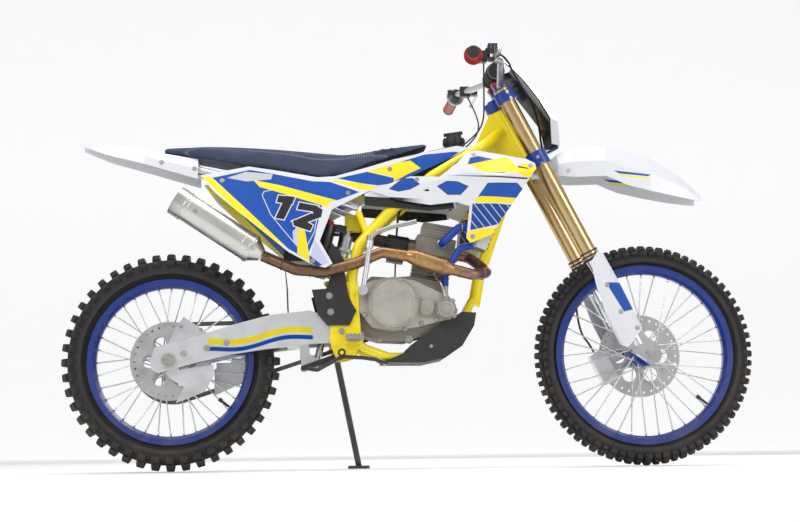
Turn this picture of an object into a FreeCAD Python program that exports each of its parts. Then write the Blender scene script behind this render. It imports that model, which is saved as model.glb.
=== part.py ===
import FreeCAD, Part
import math
import os
import re
import Sketcher
from FreeCAD import Placement, Rotation, Vector

# A full-size motocross motorcycle standing upright on its side stand.
# +X points forward, +Y to the rider's left, +Z up, with the floor at Z = 0.

doc = FreeCAD.newDocument("MotocrossMotorcycle")
sheet = doc.addObject("Spreadsheet::Sheet", "Sizes")

sizes = [
    ("wheelbase", 1470, "distance between the axles"),
    ("front_axle_x", 735, "front axle, ahead of the middle of the machine"),
    ("front_tyre_radius", 345, "front tyre, floor to axle"),
    ("front_tyre_width", 84, "front tyre across its sidewalls"),
    ("front_seat_radius", 266.7, "bead seat of a 21 inch rim"),
    ("front_rim_width", 52, "front rim across its flanges"),
    ("rear_tyre_radius", 336, "rear tyre, floor to axle"),
    ("rear_tyre_width", 110, "rear tyre across its sidewalls"),
    ("rear_seat_radius", 241.3, "bead seat of a 19 inch rim"),
    ("rear_rim_width", 66, "rear rim across its flanges"),
    ("flange_height", 13, "rim flange above the bead seat"),
    ("axle_radius", 10, "both wheel axles"),
    ("axle_play", 0.05, "running clearance of a wheel or lever on its shaft"),
    ("spoke_radius", 2, "one spoke"),
    ("hub_radius", 24, "hub barrel"),
    ("hub_flange_radius", 36, "hub flange that holds the spokes"),
    ("front_disc_radius", 130, "front brake disc"),
    ("rear_disc_radius", 120, "rear brake disc"),
    ("disc_thickness", 3.5, "both brake discs"),
    ("disc_offset", 60, "brake disc to the middle plane"),
    ("chain_pitch", 15.875, "520 chain"),
    ("rear_teeth", 48, "rear sprocket teeth"),
    ("front_teeth", 13, "countershaft sprocket teeth"),
    ("chain_offset", 68, "chain line to the middle plane"),
    ("chain_height", 14, "chain side plate height"),
    ("pivot_x", -213, "swingarm pivot"),
    ("pivot_z", 418, "swingarm pivot height"),
    ("pivot_radius", 9, "swingarm pivot bolt"),
    ("countershaft_x", -138, "countershaft"),
    ("countershaft_z", 436, "countershaft height"),
    ("shock_x", -186, "upper shock bolt"),
    ("shock_z", 752, "upper shock bolt height"),
    ("rocker_x", -325, "rocker pivot on the swingarm"),
    ("rocker_z", 352, "rocker pivot height"),
    ("eye_x", -288, "shock's lower bolt"),
    ("eye_z", 330, "shock's lower bolt height"),
    ("link_x", -178, "pull link's bolt on the frame"),
    ("link_z", 360, "pull link's bolt height on the frame"),
    ("link_end_x", -330, "pull link's bolt on the rocker"),
    ("link_end_z", 312, "pull link's bolt height on the rocker"),
    ("arm_inside", 82, "swingarm beam, inner face to the middle plane"),
    ("arm_thickness", 24, "swingarm beam"),
    ("rake", 27, "steering axis from vertical, degrees"),
    ("fork_trail", 22, "axle ahead of the fork tube axis"),
    ("stem_setback", 24, "steering stem behind the fork tube axis"),
    ("fork_spread", 105, "fork tube to the middle plane"),
    ("fork_radius", 25, "upper fork tube"),
    ("leg_radius", 22, "lower fork leg tube"),
    ("leg_play", 0.05, "running clearance of a leg in its tube"),
    ("fork_bottom", 345, "upper fork tube end above the axle, along the tube"),
    ("fork_top", 936, "upper fork tube top above the axle, along the tube"),
    ("lower_clamp", 668, "lower clamp underside above the axle, along the tube"),
    ("lower_clamp_height", 46, "lower clamp"),
    ("upper_clamp", 893, "upper clamp underside above the axle, along the tube"),
    ("upper_clamp_height", 34, "upper clamp"),
    ("stem_radius", 13, "steering stem"),
    ("head_radius", 27, "head tube"),
    ("spar_radius", 17, "main frame spar"),
    ("cradle_radius", 13, "frame cradle tube"),
    ("subframe_radius", 10, "subframe tube"),
    ("frame_half", 104, "frame spar to the middle plane"),
    ("bar_width", 800, "handlebar, end to end"),
    ("bar_radius", 11.1, "handlebar tube"),
    ("bar_height", 1236, "height of the grips"),
    ("grip_radius", 17, "handlebar grip"),
    ("grip_length", 118, "handlebar grip"),
    ("clutch_radius", 78, "clutch cover"),
    ("skin", 4, "thickness of the plastic bodywork"),
    ("silencer_radius", 44, "silencer can"),
    ("header_radius", 17, "exhaust header tube"),
    ("spring_radius", 31, "shock spring, middle of the wire"),
    ("wire_radius", 4.5, "shock spring wire"),
    ("spring_length", 216, "shock spring between its seats"),
    ("hose_radius", 3.5, "brake hose"),
    ("cable_radius", 2.5, "throttle and clutch cable"),
    ("seat_width", 150, "seat across its middle"),
]

for row, (alias, value, note) in enumerate(sizes, start=1):
    sheet.set("A%d" % row, note)
    sheet.set("B%d" % row, str(value))
    sheet.setAlias("B%d" % row, alias)
doc.recompute()

names = set(alias for alias, value, note in sizes)


def full(text):
    """Expression text with every size name led by the sheet's name."""
    return re.sub(r"[a-z_]+", lambda m: "Sizes." + m.group() if m.group() in names else m.group(), str(text))


def num(text):
    """The value of a size expression."""
    if isinstance(text, (int, float)):
        return float(text)
    found = sheet.evalExpression(full(text))
    return float(getattr(found, "Value", found))


def point(x, y, z):
    return Vector(num(x), num(y), num(z))


def bind(item, prop, text):
    item.setExpression(prop, full(text))


def place(item, x=0, y=0, z=0, angle=None, axis=Vector(0, 1, 0)):
    """Bind a sub-part's Placement to the sheet."""
    item.Placement = Placement(point(x, y, z), Rotation(axis, num(angle or 0)))
    for letter, text in zip("xyz", (x, y, z)):
        bind(item, "Placement.Base." + letter, text)
    if angle is not None:
        bind(item, "Placement.Rotation.Angle", text=angle)
    return item


# Primitives

def rod(name, radius, length, start, direction=(0, 1, 0)):
    """A round bar from a start point along a direction."""
    item = doc.addObject("Part::Cylinder", name)
    bind(item, "Radius", radius)
    bind(item, "Height", length)
    turn = Rotation(Vector(0, 0, 1), Vector(*direction))
    item.Placement = Placement(point(*start), turn)
    return item


def crossRod(name, radius, length, x, z, y=0):
    """A round bar across the machine, centred on y."""
    item = rod(name, radius, length, (x, 0, z))
    item.Placement.Base.y = num(y) - num(length) / 2
    return item


def bar(name, radius, start, end):
    """A round bar between two points."""
    a = point(*start)
    b = point(*end)
    item = rod(name, radius, (b - a).Length, start, tuple(b - a))
    return item


def block(name, length, width, height, centre, angle=0, axis=Vector(0, 1, 0)):
    """A box by its centre, turned about an axis through it."""
    item = doc.addObject("Part::Box", name)
    bind(item, "Length", length)
    bind(item, "Width", width)
    bind(item, "Height", height)
    turn = Rotation(axis, num(angle))
    corner = Vector(-num(length) / 2, -num(width) / 2, -num(height) / 2)
    item.Placement = Placement(point(*centre) + turn.multVec(corner), turn)
    return item


def ball(name, radius, centre):
    item = doc.addObject("Part::Sphere", name)
    bind(item, "Radius", radius)
    item.Placement.Base = point(*centre)
    return item


def roundedPath(points, bend):
    """Straight runs joined by tangent arcs."""
    corners = [point(*p) for p in points]
    edges = []
    here = corners[0]
    for before, corner, after in zip(corners, corners[1:], corners[2:]):
        back = (before - corner).normalize()
        on = (after - corner).normalize()
        half = back.getAngle(on) / 2
        reach = num(bend) / math.tan(half)
        first = corner + back * reach
        last = corner + on * reach
        bisector = (back + on).normalize()
        middle = corner + bisector * (num(bend) / math.sin(half) - num(bend))
        if (first - here).Length > 0.01:
            edges.append(Part.LineSegment(here, first).toShape())
        edges.append(Part.Arc(first, middle, last).toShape())
        here = last
    edges.append(Part.LineSegment(here, corners[-1]).toShape())
    return Part.Wire(edges)


def tube(name, radius, points, bend=30):
    """A bent tube: a circle swept along a rounded path."""
    path = doc.addObject("Part::Feature", name + "_path")
    path.Shape = roundedPath(points, bend)
    circle = doc.addObject("Part::Circle", name + "_circle")
    bind(circle, "Radius", radius)
    along = point(*points[1]) - point(*points[0])
    circle.Placement = Placement(point(*points[0]), Rotation(Vector(0, 0, 1), along))
    sweep = doc.addObject("Part::Sweep", name)
    sweep.Sections = [circle]
    sweep.Spine = (path, ["Edge%d" % (i + 1) for i in range(len(path.Shape.Edges))])
    sweep.Solid = True
    sweep.Frenet = False
    return sweep


# Sketched bodies

def plane(body, role):
    return [f for f in body.Origin.OriginFeatures if f.Role == role][0]


def sketchOn(body, name, role, offset=None):
    sketch = body.newObject("Sketcher::SketchObject", name)
    sketch.AttachmentSupport = [(plane(body, role), "")]
    sketch.MapMode = "FlatFace"
    if offset is not None:
        bind(sketch, "AttachmentOffset.Base.z", offset)
    return sketch


def pin(sketch, edge, end, x, y):
    """Hold one end of an edge at sheet-driven coordinates."""
    for kind, text in (("DistanceX", x), ("DistanceY", y)):
        if abs(num(text)) < 1e-6:
            other = -2 if kind == "DistanceX" else -1
            sketch.addConstraint(Sketcher.Constraint("PointOnObject", edge, end, other))
            continue
        index = sketch.addConstraint(Sketcher.Constraint(kind, -1, 1, edge, end, num(text)))
        if isinstance(text, str):
            sketch.setExpression("Constraints[%d]" % index, full(text))


def outline(sketch, corners):
    """A closed outline; ("arc", x, y) bends the edge between its neighbours through that point."""
    steps = list(corners)
    first = len(sketch.Geometry)
    ends = [c for c in steps if c[0] != "arc"]
    for at, corner in enumerate(steps):
        if corner[0] == "arc":
            continue
        after = steps[(at + 1) % len(steps)]
        bent = after[0] == "arc"
        target = steps[(at + 2) % len(steps)] if bent else after
        a = Vector(num(corner[0]), num(corner[1]), 0)
        b = Vector(num(target[0]), num(target[1]), 0)
        if bent:
            edge = Part.Arc(a, Vector(num(after[1]), num(after[2]), 0), b)
        else:
            edge = Part.LineSegment(a, b)
        sketch.addGeometry(edge)
    straight = all(c[0] != "arc" for c in steps)
    if straight:
        count = len(ends)
        for i, corner in enumerate(ends):
            edge = first + i
            before = first + (i - 1) % count
            sketch.addConstraint(Sketcher.Constraint("Coincident", before, 2, edge, 1))
            pin(sketch, edge, 1, *corner)
    return sketch


def pad(name, role, corners, thickness, holes=()):
    """A plate of even thickness about its sketch plane."""
    body = doc.addObject("PartDesign::Body", name)
    sketch = sketchOn(body, name + "_outline", role)
    outline(sketch, corners)
    for x, y, radius in holes:
        at = sketch.addGeometry(Part.Circle(Vector(num(x), num(y), 0), Vector(0, 0, 1), num(radius)))
        index = sketch.addConstraint(Sketcher.Constraint("Radius", at, num(radius)))
        if isinstance(radius, str):
            sketch.setExpression("Constraints[%d]" % index, full(radius))
        pin(sketch, at, 3, x, y)
    feature = body.newObject("PartDesign::Pad", name + "_pad")
    feature.Profile = sketch
    feature.Midplane = True
    bind(feature, "Length", thickness)
    sketch.Visibility = False
    body.Tip = feature
    return body


def sidePlate(name, corners, thickness, y=0, holes=()):
    """A plate seen in side view: corners in x and z, its middle at y."""
    return place(pad(name, "XZ_Plane", corners, thickness, holes), 0, y, 0)


def crossSlab(name, corners, height, z=0):
    """A plate seen from above: corners in x and y."""
    return place(pad(name, "XY_Plane", corners, height), 0, 0, z)


def turned(name, corners):
    """A body turned about the Y axis: corners are radius and y."""
    body = doc.addObject("PartDesign::Body", name)
    sketch = sketchOn(body, name + "_profile", "XY_Plane")
    outline(sketch, corners)
    feature = body.newObject("PartDesign::Revolution", name + "_turn")
    feature.Profile = sketch
    feature.ReferenceAxis = (sketch, ["V_Axis"])
    feature.Angle = 360
    sketch.Visibility = False
    body.Tip = feature
    return body


def lofted(name, role, stations, ruled=True):
    """A body lofted through outlines at stations along a plane's normal."""
    body = doc.addObject("PartDesign::Body", name)
    sketches = []
    for i, (offset, corners) in enumerate(stations):
        sketch = sketchOn(body, "%s_section%d" % (name, i + 1), role, str(offset))
        outline(sketch, corners)
        sketch.Visibility = False
        sketches.append(sketch)
    feature = body.newObject("PartDesign::AdditiveLoft", name + "_loft")
    feature.Profile = sketches[0]
    feature.Sections = sketches[1:]
    feature.Ruled = ruled
    body.Tip = feature
    return body


# Joining

def fuse(name, parts):
    item = doc.addObject("Part::MultiFuse", name)
    item.Shapes = parts
    return item


def cut(name, base, tools):
    tool = tools[0] if len(tools) == 1 else fuse(name + "_tools", tools)
    item = doc.addObject("Part::Cut", name)
    item.Base = base
    item.Tool = tool
    return item


def common(name, a, b):
    item = doc.addObject("Part::Common", name)
    item.Base = a
    item.Tool = b
    return item


def group(name, parts):
    """Separate solids that share one node."""
    item = doc.addObject("Part::Compound", name)
    item.Links = parts
    return item


def mirrored(name, source):
    """The same piece on the other side of the machine."""
    item = doc.addObject("Part::Mirroring", name)
    item.Source = source
    item.Normal = Vector(0, 1, 0)
    return item


nodes = []


def node(label, item):
    """Hand a finished sub-part its label and keep it for export."""
    item.Label = label
    nodes.append(item)
    return item


# Wheels

def tyre(side, radius, seat, width, rimWidth, tread):
    """A hollow tyre: beads on the rim seat, bulging walls, a flat centre tread."""
    inner = "%s/2 - 7" % rimWidth
    wall = "%s/2" % width
    profile = [
        (seat + " + 0.3", inner), (seat + " + flange_height + 3", inner),
        ("arc", "(%s + %s)/2" % (radius, seat), wall), (radius + " - 10", "%s/2 - 6" % width),
        ("arc", radius + " - 2.5", "(%s/2 - 6 + %s)/2" % (width, tread)), (radius, tread),
        (radius, "-" + str(tread)), ("arc", radius + " - 2.5", "-(%s/2 - 6 + %s)/2" % (width, tread)),
        (radius + " - 10", "6 - %s/2" % width), ("arc", "(%s + %s)/2" % (radius, seat), "-" + wall),
        (seat + " + flange_height + 3", "7 - %s/2" % rimWidth), (seat + " + 0.3", "7 - %s/2" % rimWidth),
        (seat + " + 0.3", "17 - %s/2" % rimWidth), (seat + " + flange_height + 6", "17 - %s/2" % rimWidth),
        ("arc", "(%s + %s)/2" % (radius, seat), "11 - " + wall), (radius + " - 20", "22 - " + wall),
        (radius + " - 20", wall + " - 22"), ("arc", "(%s + %s)/2" % (radius, seat), wall + " - 11"),
        (seat + " + flange_height + 6", "%s/2 - 17" % rimWidth), (seat + " + 0.3", "%s/2 - 17" % rimWidth),
    ]
    return turned(side + "_tyre", profile)


def rim(side, seat, rimWidth):
    """A dropped-centre rim with a flange each side."""
    half = "%s/2" % rimWidth
    upper = [
        (seat + " - 14", 0), (seat + " - 14", 11), (seat + " - 5", half), (seat + " + flange_height", half),
        (seat + " + flange_height", half + " - 6"), (seat, half + " - 6"), (seat + " - 4", 12), (seat + " - 4", 0),
    ]
    lower = [(r, "-(%s)" % y) for r, y in reversed(upper[1:-1])]
    return turned(side + "_rim", upper + lower)


def spokes(side, seat, flangeY, count=36):
    """Laced spokes between hub flange and rim, half of them to each side."""
    rimRadius = num(seat + " - 14.4")
    hubRadius = num("hub_flange_radius - 5")
    masters = []
    for k, (facing, lean, place0) in enumerate([(1, 52, 0), (1, -52, 10), (-1, 52, 5), (-1, -52, 15)]):
        middle = math.radians(place0 * 2)
        turn = middle + math.radians(lean)
        foot = Vector(hubRadius * math.cos(turn), facing * num(flangeY), hubRadius * math.sin(turn))
        head = Vector(rimRadius * math.cos(middle), facing * 5, rimRadius * math.sin(middle))
        along = (head - foot).normalize()
        start = foot + along * 10.6
        item = rod("%s_spoke%d" % (side, k + 1), "spoke_radius", (head - start).Length, tuple(start), tuple(along))
        masters.append(item)
    ring = doc.addObject("Part::Feature", side + "_spokes")
    doc.recompute()
    solids = []
    for item in masters:
        for step in range(count // 4):
            copy = item.Shape.copy()
            copy.rotate(Vector(0, 0, 0), Vector(0, 1, 0), step * 360.0 / (count // 4))
            solids.append(copy)
    ring.Shape = Part.makeCompound(solids)
    return ring


def patterned(body, feature, count):
    """Repeat a cut round the Y axis of a body made on the XZ plane."""
    pattern = body.newObject("PartDesign::PolarPattern", feature.Name + "_ring")
    pattern.Originals = [feature]
    axis = [f for f in body.Origin.OriginFeatures if f.Role == "Y_Axis"][0]
    pattern.Axis = (axis, [""])
    pattern.Angle = 360
    pattern.Occurrences = int(num(count))
    if isinstance(count, str):
        bind(pattern, "Occurrences", count)
    body.Tip = pattern
    return pattern


def pierced(name, radius, thickness, bore, windows):
    """A disc with rings of round windows: each is (pitch radius, hole radius, count)."""
    body = doc.addObject("PartDesign::Body", name)
    sketch = sketchOn(body, name + "_outline", "XZ_Plane")
    for size in (radius, bore):
        at = sketch.addGeometry(Part.Circle(Vector(0, 0, 0), Vector(0, 0, 1), num(size)))
        sketch.addConstraint(Sketcher.Constraint("Coincident", at, 3, -1, 1))
        index = sketch.addConstraint(Sketcher.Constraint("Radius", at, num(size)))
        if isinstance(size, str):
            sketch.setExpression("Constraints[%d]" % index, full(size))
    feature = body.newObject("PartDesign::Pad", name + "_pad")
    feature.Profile = sketch
    feature.Midplane = True
    bind(feature, "Length", thickness)
    body.Tip = feature
    for i, (pitch, hole, count) in enumerate(windows):
        cutter = sketchOn(body, "%s_window%d" % (name, i + 1), "XZ_Plane")
        at = cutter.addGeometry(Part.Circle(Vector(num(pitch), 0, 0), Vector(0, 0, 1), num(hole)))
        pin(cutter, at, 3, pitch, 0)
        index = cutter.addConstraint(Sketcher.Constraint("Radius", at, num(hole)))
        pocket = body.newObject("PartDesign::Pocket", "%s_cut%d" % (name, i + 1))
        pocket.Profile = cutter
        pocket.Type = 1
        pocket.Midplane = True
        body.Tip = pocket
        doc.recompute()
        patterned(body, pocket, count)
    return body


wheels = [
    # name, axle x, axle height, seat radius, tyre radius, tyre width, rim width, tread half, hub half, side of disc
    ("front", "front_axle_x", "front_tyre_radius", "front_seat_radius", "front_tyre_radius",
     "front_tyre_width", "front_rim_width", "18", "fork_spread - 18.4", 1, "front_disc_radius"),
    ("rear", "front_axle_x - wheelbase", "rear_tyre_radius", "rear_seat_radius", "rear_tyre_radius",
     "rear_tyre_width", "rear_rim_width", "26", "arm_inside - 0.4", -1, "rear_disc_radius"),
]


def wheelHub(side, half, discSide):
    """The hub's boss reaches out to the brake disc, and at the rear to the sprocket."""
    bore = "axle_radius + axle_play"
    seats = {discSide: "disc_offset - disc_thickness/2", -discSide: "40"}
    if side == "rear":
        seats[-discSide] = "chain_offset - 3"
    profile = []
    for facing in (1, -1):
        reach = half + " - 5.4" if side == "rear" and facing == discSide else half
        run = [
            (bore, reach), ("axle_radius + 8", reach), ("axle_radius + 8", seats[facing]), (34, seats[facing]),
            (34, 36), ("hub_flange_radius", 34), ("hub_flange_radius", 26), ("hub_radius", 20),
        ]
        if facing == 1:
            profile += run
        else:
            profile += [(r, "-(%s)" % y) for r, y in reversed(run)]
    return turned(side + "_hub", profile)


for side, axleX, axleZ, seat, radius, width, rimWidth, tread, half, discSide, discRadius in wheels:
    node(side + "_tyre", place(tyre(side, radius, seat, width, rimWidth, tread), axleX, 0, axleZ))
    node(side + "_rim", place(rim(side, seat, rimWidth), axleX, 0, axleZ))
    node(side + "_spokes", place(spokes(side, seat, "30"), axleX, 0, axleZ))
    node(side + "_hub", place(wheelHub(side, half, discSide), axleX, 0, axleZ))
    disc = pierced(side + "_disc", discRadius, "disc_thickness", 20,
                   [(discRadius + " * 0.52", discRadius + " * 0.17", 6), (discRadius + " - 14", 3.5, 30)])
    node(side + "_disc", place(disc, axleX, "disc_offset * %d" % discSide, axleZ))

rearX = "front_axle_x - wheelbase"
rearZ = "rear_tyre_radius"


# Final drive

def pitchRadius(teeth):
    return num(teeth) * num("chain_pitch") / (2 * math.pi)


def sprocket(name, teeth, windows):
    pitch = pitchRadius(teeth)
    return pierced(name, pitch + 4, 6, 20 if windows else 11, [(pitch, 5.2, teeth)] + windows)


sprocketRear = sprocket("rear_sprocket", "rear_teeth", [(72, 19, 6)])
node("rear_sprocket", place(sprocketRear, rearX, "chain_offset", rearZ))
sprocketFront = sprocket("front_sprocket_wheel", "front_teeth", [])
shaftStub = rod("countershaft_end", 11.9, 44, (0, "-40", 0))
frontDrive = fuse("front_sprocket", [sprocketFront, shaftStub])
node("front_sprocket", place(frontDrive, "countershaft_x", "chain_offset", "countershaft_z"))


def beltWire(grow):
    """The loop round both sprockets, grown outwards from the pitch line."""
    big = Vector(num(rearX), num(rearZ), 0)
    small = Vector(num("countershaft_x"), num("countershaft_z"), 0)
    bigRadius = pitchRadius("rear_teeth") + grow
    smallRadius = pitchRadius("front_teeth") + grow
    line = small - big
    lean = math.atan2(line.y, line.x)
    spread = math.acos((bigRadius - smallRadius) / line.Length)

    def on(centre, radius, angle):
        return centre + Vector(radius * math.cos(angle), radius * math.sin(angle), 0)

    a = on(big, bigRadius, lean + spread)
    b = on(small, smallRadius, lean + spread)
    c = on(small, smallRadius, lean - spread)
    d = on(big, bigRadius, lean - spread)
    front = Part.Arc(b, on(small, smallRadius, lean), c)
    rear = Part.Arc(d, on(big, bigRadius, lean + math.pi), a)
    return [Part.LineSegment(a, b), front, Part.LineSegment(c, d), rear]


def chainPlate(name, y):
    """One row of side plates as a closed band."""
    body = doc.addObject("PartDesign::Body", name)
    sketch = sketchOn(body, name + "_loop", "XZ_Plane")
    for grow in (num("chain_height") / 2, -num("chain_height") / 2):
        for edge in beltWire(grow):
            sketch.addGeometry(edge)
    feature = body.newObject("PartDesign::Pad", name + "_pad")
    feature.Profile = sketch
    feature.Midplane = True
    bind(feature, "Length", "3")
    body.Tip = feature
    return place(body, 0, y, 0)


chainParts = [chainPlate("chain_inner_plates", "chain_offset - 5.2"), chainPlate("chain_outer_plates", "chain_offset + 5.2")]
node("chain", group("chain", chainParts))


# Swingarm

beamOutline = [
    (rearX + " - 54", rearZ + " + 2"), (rearX + " - 42", rearZ + " + 40"), (rearX + " + 50", rearZ + " + 62"),
    (rearX + " + 184", rearZ + " + 104"), ("pivot_x - 217", "pivot_z + 53"), ("pivot_x - 96", "pivot_z + 66"),
    ("pivot_x - 20", "pivot_z + 38"), ("pivot_x + 26", "pivot_z + 14"), ("pivot_x + 26", "pivot_z - 14"),
    ("pivot_x - 12", "pivot_z - 32"), ("pivot_x - 100", "pivot_z - 36"), ("pivot_x - 240", "pivot_z - 52"),
    (rearX + " + 184", rearZ + " + 16"), (rearX + " + 80", rearZ + " - 8"), (rearX + " - 32", rearZ + " - 38"),
    (rearX + " - 52", rearZ + " - 28"),
]
beamY = "arm_inside + arm_thickness/2"
beams = [sidePlate("right_beam", beamOutline, "arm_thickness", "-(%s)" % beamY),
         sidePlate("left_beam", beamOutline, "arm_thickness", beamY)]
crossMember = block("cross_member", 64, "2*arm_inside + 4", 70, ("pivot_x - 133", 0, "pivot_z - 5"))
pivotTube = crossRod("pivot_tube", 19, "2*arm_inside + 4", "pivot_x", "pivot_z")
rockerEars = [block("rocker_ear%d" % i, 30, 8, 44, ("rocker_x", y, "rocker_z + 13")) for i, y in enumerate((-30, 30))]
armBody = fuse("arm_body", beams + [crossMember, pivotTube] + rockerEars)
pivotBore = crossRod("pivot_bore", "pivot_radius + axle_play", 300, "pivot_x", "pivot_z")
axleBore = crossRod("axle_bore", "axle_radius + 0.2", 300, rearX, rearZ)
rockerBore = crossRod("rocker_bore", 6.1, 100, "rocker_x", "rocker_z")
arm = cut("arm", armBody, [pivotBore, axleBore, rockerBore])
axle = crossRod("rear_axle", "axle_radius", "2*arm_inside + 2*arm_thickness + 8", rearX, rearZ)
nutY = "arm_inside + arm_thickness + 0.3"
nutRing = rod("axle_nut", 17, 9, (rearX, nutY, rearZ))
headRing = rod("axle_head", 17, 9, (rearX, "-(%s) - 9" % nutY, rearZ))
axleWhole = fuse("axle_whole", [axle, nutRing, headRing])
slider = block("chain_slider", 110, 22, 6, ("pivot_x - 158", "arm_inside + arm_thickness/2", "pivot_z + 62.8"), -6.13)
guideOutline = [(rearX + " + 129", rearZ + " - 20"), (rearX + " + 226", rearZ + " + 22"),
                (rearX + " + 219", rearZ + " - 61"), (rearX + " + 129", rearZ + " - 101")]
guidePlates = [sidePlate("guide_plate%d" % i, guideOutline, 3, y) for i, y in enumerate(("chain_offset - 9", "chain_offset + 9"))]
guideBridge = block("guide_bridge", 70, 18, 24, (rearX + " + 170", "chain_offset", rearZ + " - 12"))
guideArm = block("guide_arm", 30, 12, 40, (rearX + " + 196", "chain_offset + 14", rearZ + " - 5"))
guide = fuse("guide", guidePlates + [guideBridge, guideArm])
node("swingarm", group("swingarm", [arm, axleWhole, slider, guide]))


# Rear caliper

def caliper(name, length, height, deep, slotY):
    """A block that straddles the disc, with a slot for it."""
    outer = block(name + "_block", length, deep, height, (0, 0, 0))
    slot = block(name + "_slot", "%s + 40" % length, "disc_thickness + 1.4", "%s" % height, (0, slotY, -5))
    return cut(name + "_jaws", outer, [slot])


rearJaws = caliper("rear_caliper", 84, 54, 40, 0)
rearJaws.Placement = Placement(point(rearX + " + 62", "-disc_offset", rearZ + " + 88"), Rotation(Vector(0, 1, 0), 35))
bracketOutline = [
    (rearX + " - 20", rearZ + " - 18"), (rearX + " + 22", rearZ + " - 18"), (rearX + " + 60", rearZ + " + 62"),
    (rearX + " + 96", rearZ + " + 84"), (rearX + " + 80", rearZ + " + 104"), (rearX + " + 22", rearZ + " + 104"),
    (rearX + " - 18", rearZ + " + 24"),
]
bracket = sidePlate("caliper_bracket", bracketOutline, 4.8, "3 - arm_inside", [(rearX, rearZ, "axle_radius + 0.2")])
guardOutline = [
    (rearX + " - 12", rearZ + " - 34"), (rearX + " + 132", rearZ + " - 12"), (rearX + " + 138", rearZ + " - 40"),
    (rearX + " + 108", rearZ + " - 94"), (rearX + " + 20", rearZ + " - 128"), (rearX + " + 44", rearZ + " - 80"),
    (rearX + " - 2", rearZ + " - 50"),
]
guard = sidePlate("disc_guard", guardOutline, 4, "3 - arm_inside")
guardNeck = block("guard_neck", 36, 4, 24, (rearX + " + 12", "3 - arm_inside", rearZ + " - 28"))
node("rear_caliper", fuse("rear_caliper", [rearJaws, bracket, guard, guardNeck]))


# Fork geometry

def forkPoint(x, y, s):
    """A point given ahead of the fork tube axis, across, and along the tube from the axle's foot."""
    lean = math.radians(num("rake"))
    baseX = num("front_axle_x - fork_trail * cos(rake)")
    baseZ = num("front_tyre_radius - fork_trail * sin(rake)")
    x = num(x)
    s = num(s)
    return (baseX + x * math.cos(lean) - s * math.sin(lean), num(y), baseZ + x * math.sin(lean) + s * math.cos(lean))


def alongFork(item):
    """Stand a piece built upright on the fork line."""
    return place(item, "front_axle_x - fork_trail * cos(rake)", 0, "front_tyre_radius - fork_trail * sin(rake)", "-rake")


both = (-1, 1)
tubes = []
for sign in both:
    spread = "fork_spread * %d" % sign
    outer = rod("fork_tube%d" % (sign + 2), "fork_radius", "fork_top - fork_bottom", (0, spread, "fork_bottom"), (0, 0, 1))
    seal = rod("fork_seal%d" % (sign + 2), "fork_radius + 3", 22, (0, spread, "fork_bottom"), (0, 0, 1))
    bore = rod("fork_bore%d" % (sign + 2), "leg_radius + leg_play", "fork_top - fork_bottom - 14",
               (0, spread, "fork_bottom - 2"), (0, 0, 1))
    tubes.append(cut("fork_outer%d" % (sign + 2), fuse("fork_shell%d" % (sign + 2), [outer, seal]), [bore]))
node("fork_tubes", alongFork(group("fork_tubes", tubes)))

lugOutline = [(-26, 80), (26, 80), (34, 44), (50, 20), (50, -18), (34, -34), (8, -34), (-10, 0), (-26, 30)]
legs = []
for sign in both:
    spread = "fork_spread * %d" % sign
    leg = rod("fork_leg%d" % (sign + 2), "leg_radius", "fork_bottom + 255", (0, spread, 40), (0, 0, 1))
    lug = sidePlate("fork_lug%d" % (sign + 2), lugOutline, 36, spread)
    stud = crossRod("guard_stud%d" % (sign + 2), 5, 26.2, 0, 70, "(fork_spread + 16.6) * %d" % sign)
    hole = rod("lug_bore%d" % (sign + 2), "axle_radius + 0.2", 60, ("fork_trail", "%s - 30" % spread, 0))
    legs.append(cut("leg%d" % (sign + 2), fuse("leg_whole%d" % (sign + 2), [leg, lug, stud]), [hole]))
frontAxle = crossRod("front_axle", "axle_radius", "2*fork_spread + 42", "fork_trail", 0)
node("fork_legs", alongFork(group("fork_legs", legs + [frontAxle])))

guardSide = [(20, 352), (34, 336), (36, 240), (32, 112), (30, 80), (-6, 62), (-38, 48), (-52, 66), (-50, 152), (-36, 250), (-16, 330)]
guardPlan = [(40, 104), (34, 122), (20, 135), (-20, 136), (-44, 128), (-58, 112), (-58, 116), (-46, 132), (-22, 140),
             (22, 139), (38, 125), (44, 106)]
guardBlank = sidePlate("fork_guard_side", guardSide, 80, -125)
guardBand = crossSlab("fork_guard_band", [(x, -y) for x, y in guardPlan], 800)
rightGuard = common("right_fork_guard", guardBlank, guardBand)
node("fork_guards", alongFork(group("fork_guards", [rightGuard, mirrored("left_fork_guard", rightGuard)])))

clamps = []
for name, base, height in (("lower", "lower_clamp", "lower_clamp_height"), ("upper", "upper_clamp", "upper_clamp_height")):
    pieces = [rod("%s_clamp%d" % (name, sign + 2), "fork_radius + 8", height, (0, "fork_spread * %d" % sign, base), (0, 0, 1))
              for sign in both]
    pieces.append(rod(name + "_boss", 30, height, ("-stem_setback", 0, base), (0, 0, 1)))
    pieces.append(block(name + "_bridge", 34, "2*fork_spread", height + " - 8", (-6, 0, "%s + %s/2" % (base, height))))
    holes = [rod("%s_hole%d" % (name, sign + 2), "fork_radius + 0.1", 100, (0, "fork_spread * %d" % sign, base + " - 20"), (0, 0, 1))
             for sign in both]
    clamps.append(cut(name + "_clamp", fuse(name + "_clamp_body", pieces), holes))
stem = rod("stem", "stem_radius", "upper_clamp + upper_clamp_height - lower_clamp + 6", ("-stem_setback", 0, "lower_clamp"), (0, 0, 1))
risers = [block("riser%d" % (sign + 2), 34, 28, 54, (10, 42 * sign, "upper_clamp + upper_clamp_height + 15")) for sign in both]
barSeat = crossRod("bar_seat", "bar_radius + 0.1", 200, 10, "upper_clamp + upper_clamp_height + 24")
plateStay = block("plate_stay", 89.6, 30, 8, (49.8, 0, "lower_clamp + lower_clamp_height - 10"))
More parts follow.
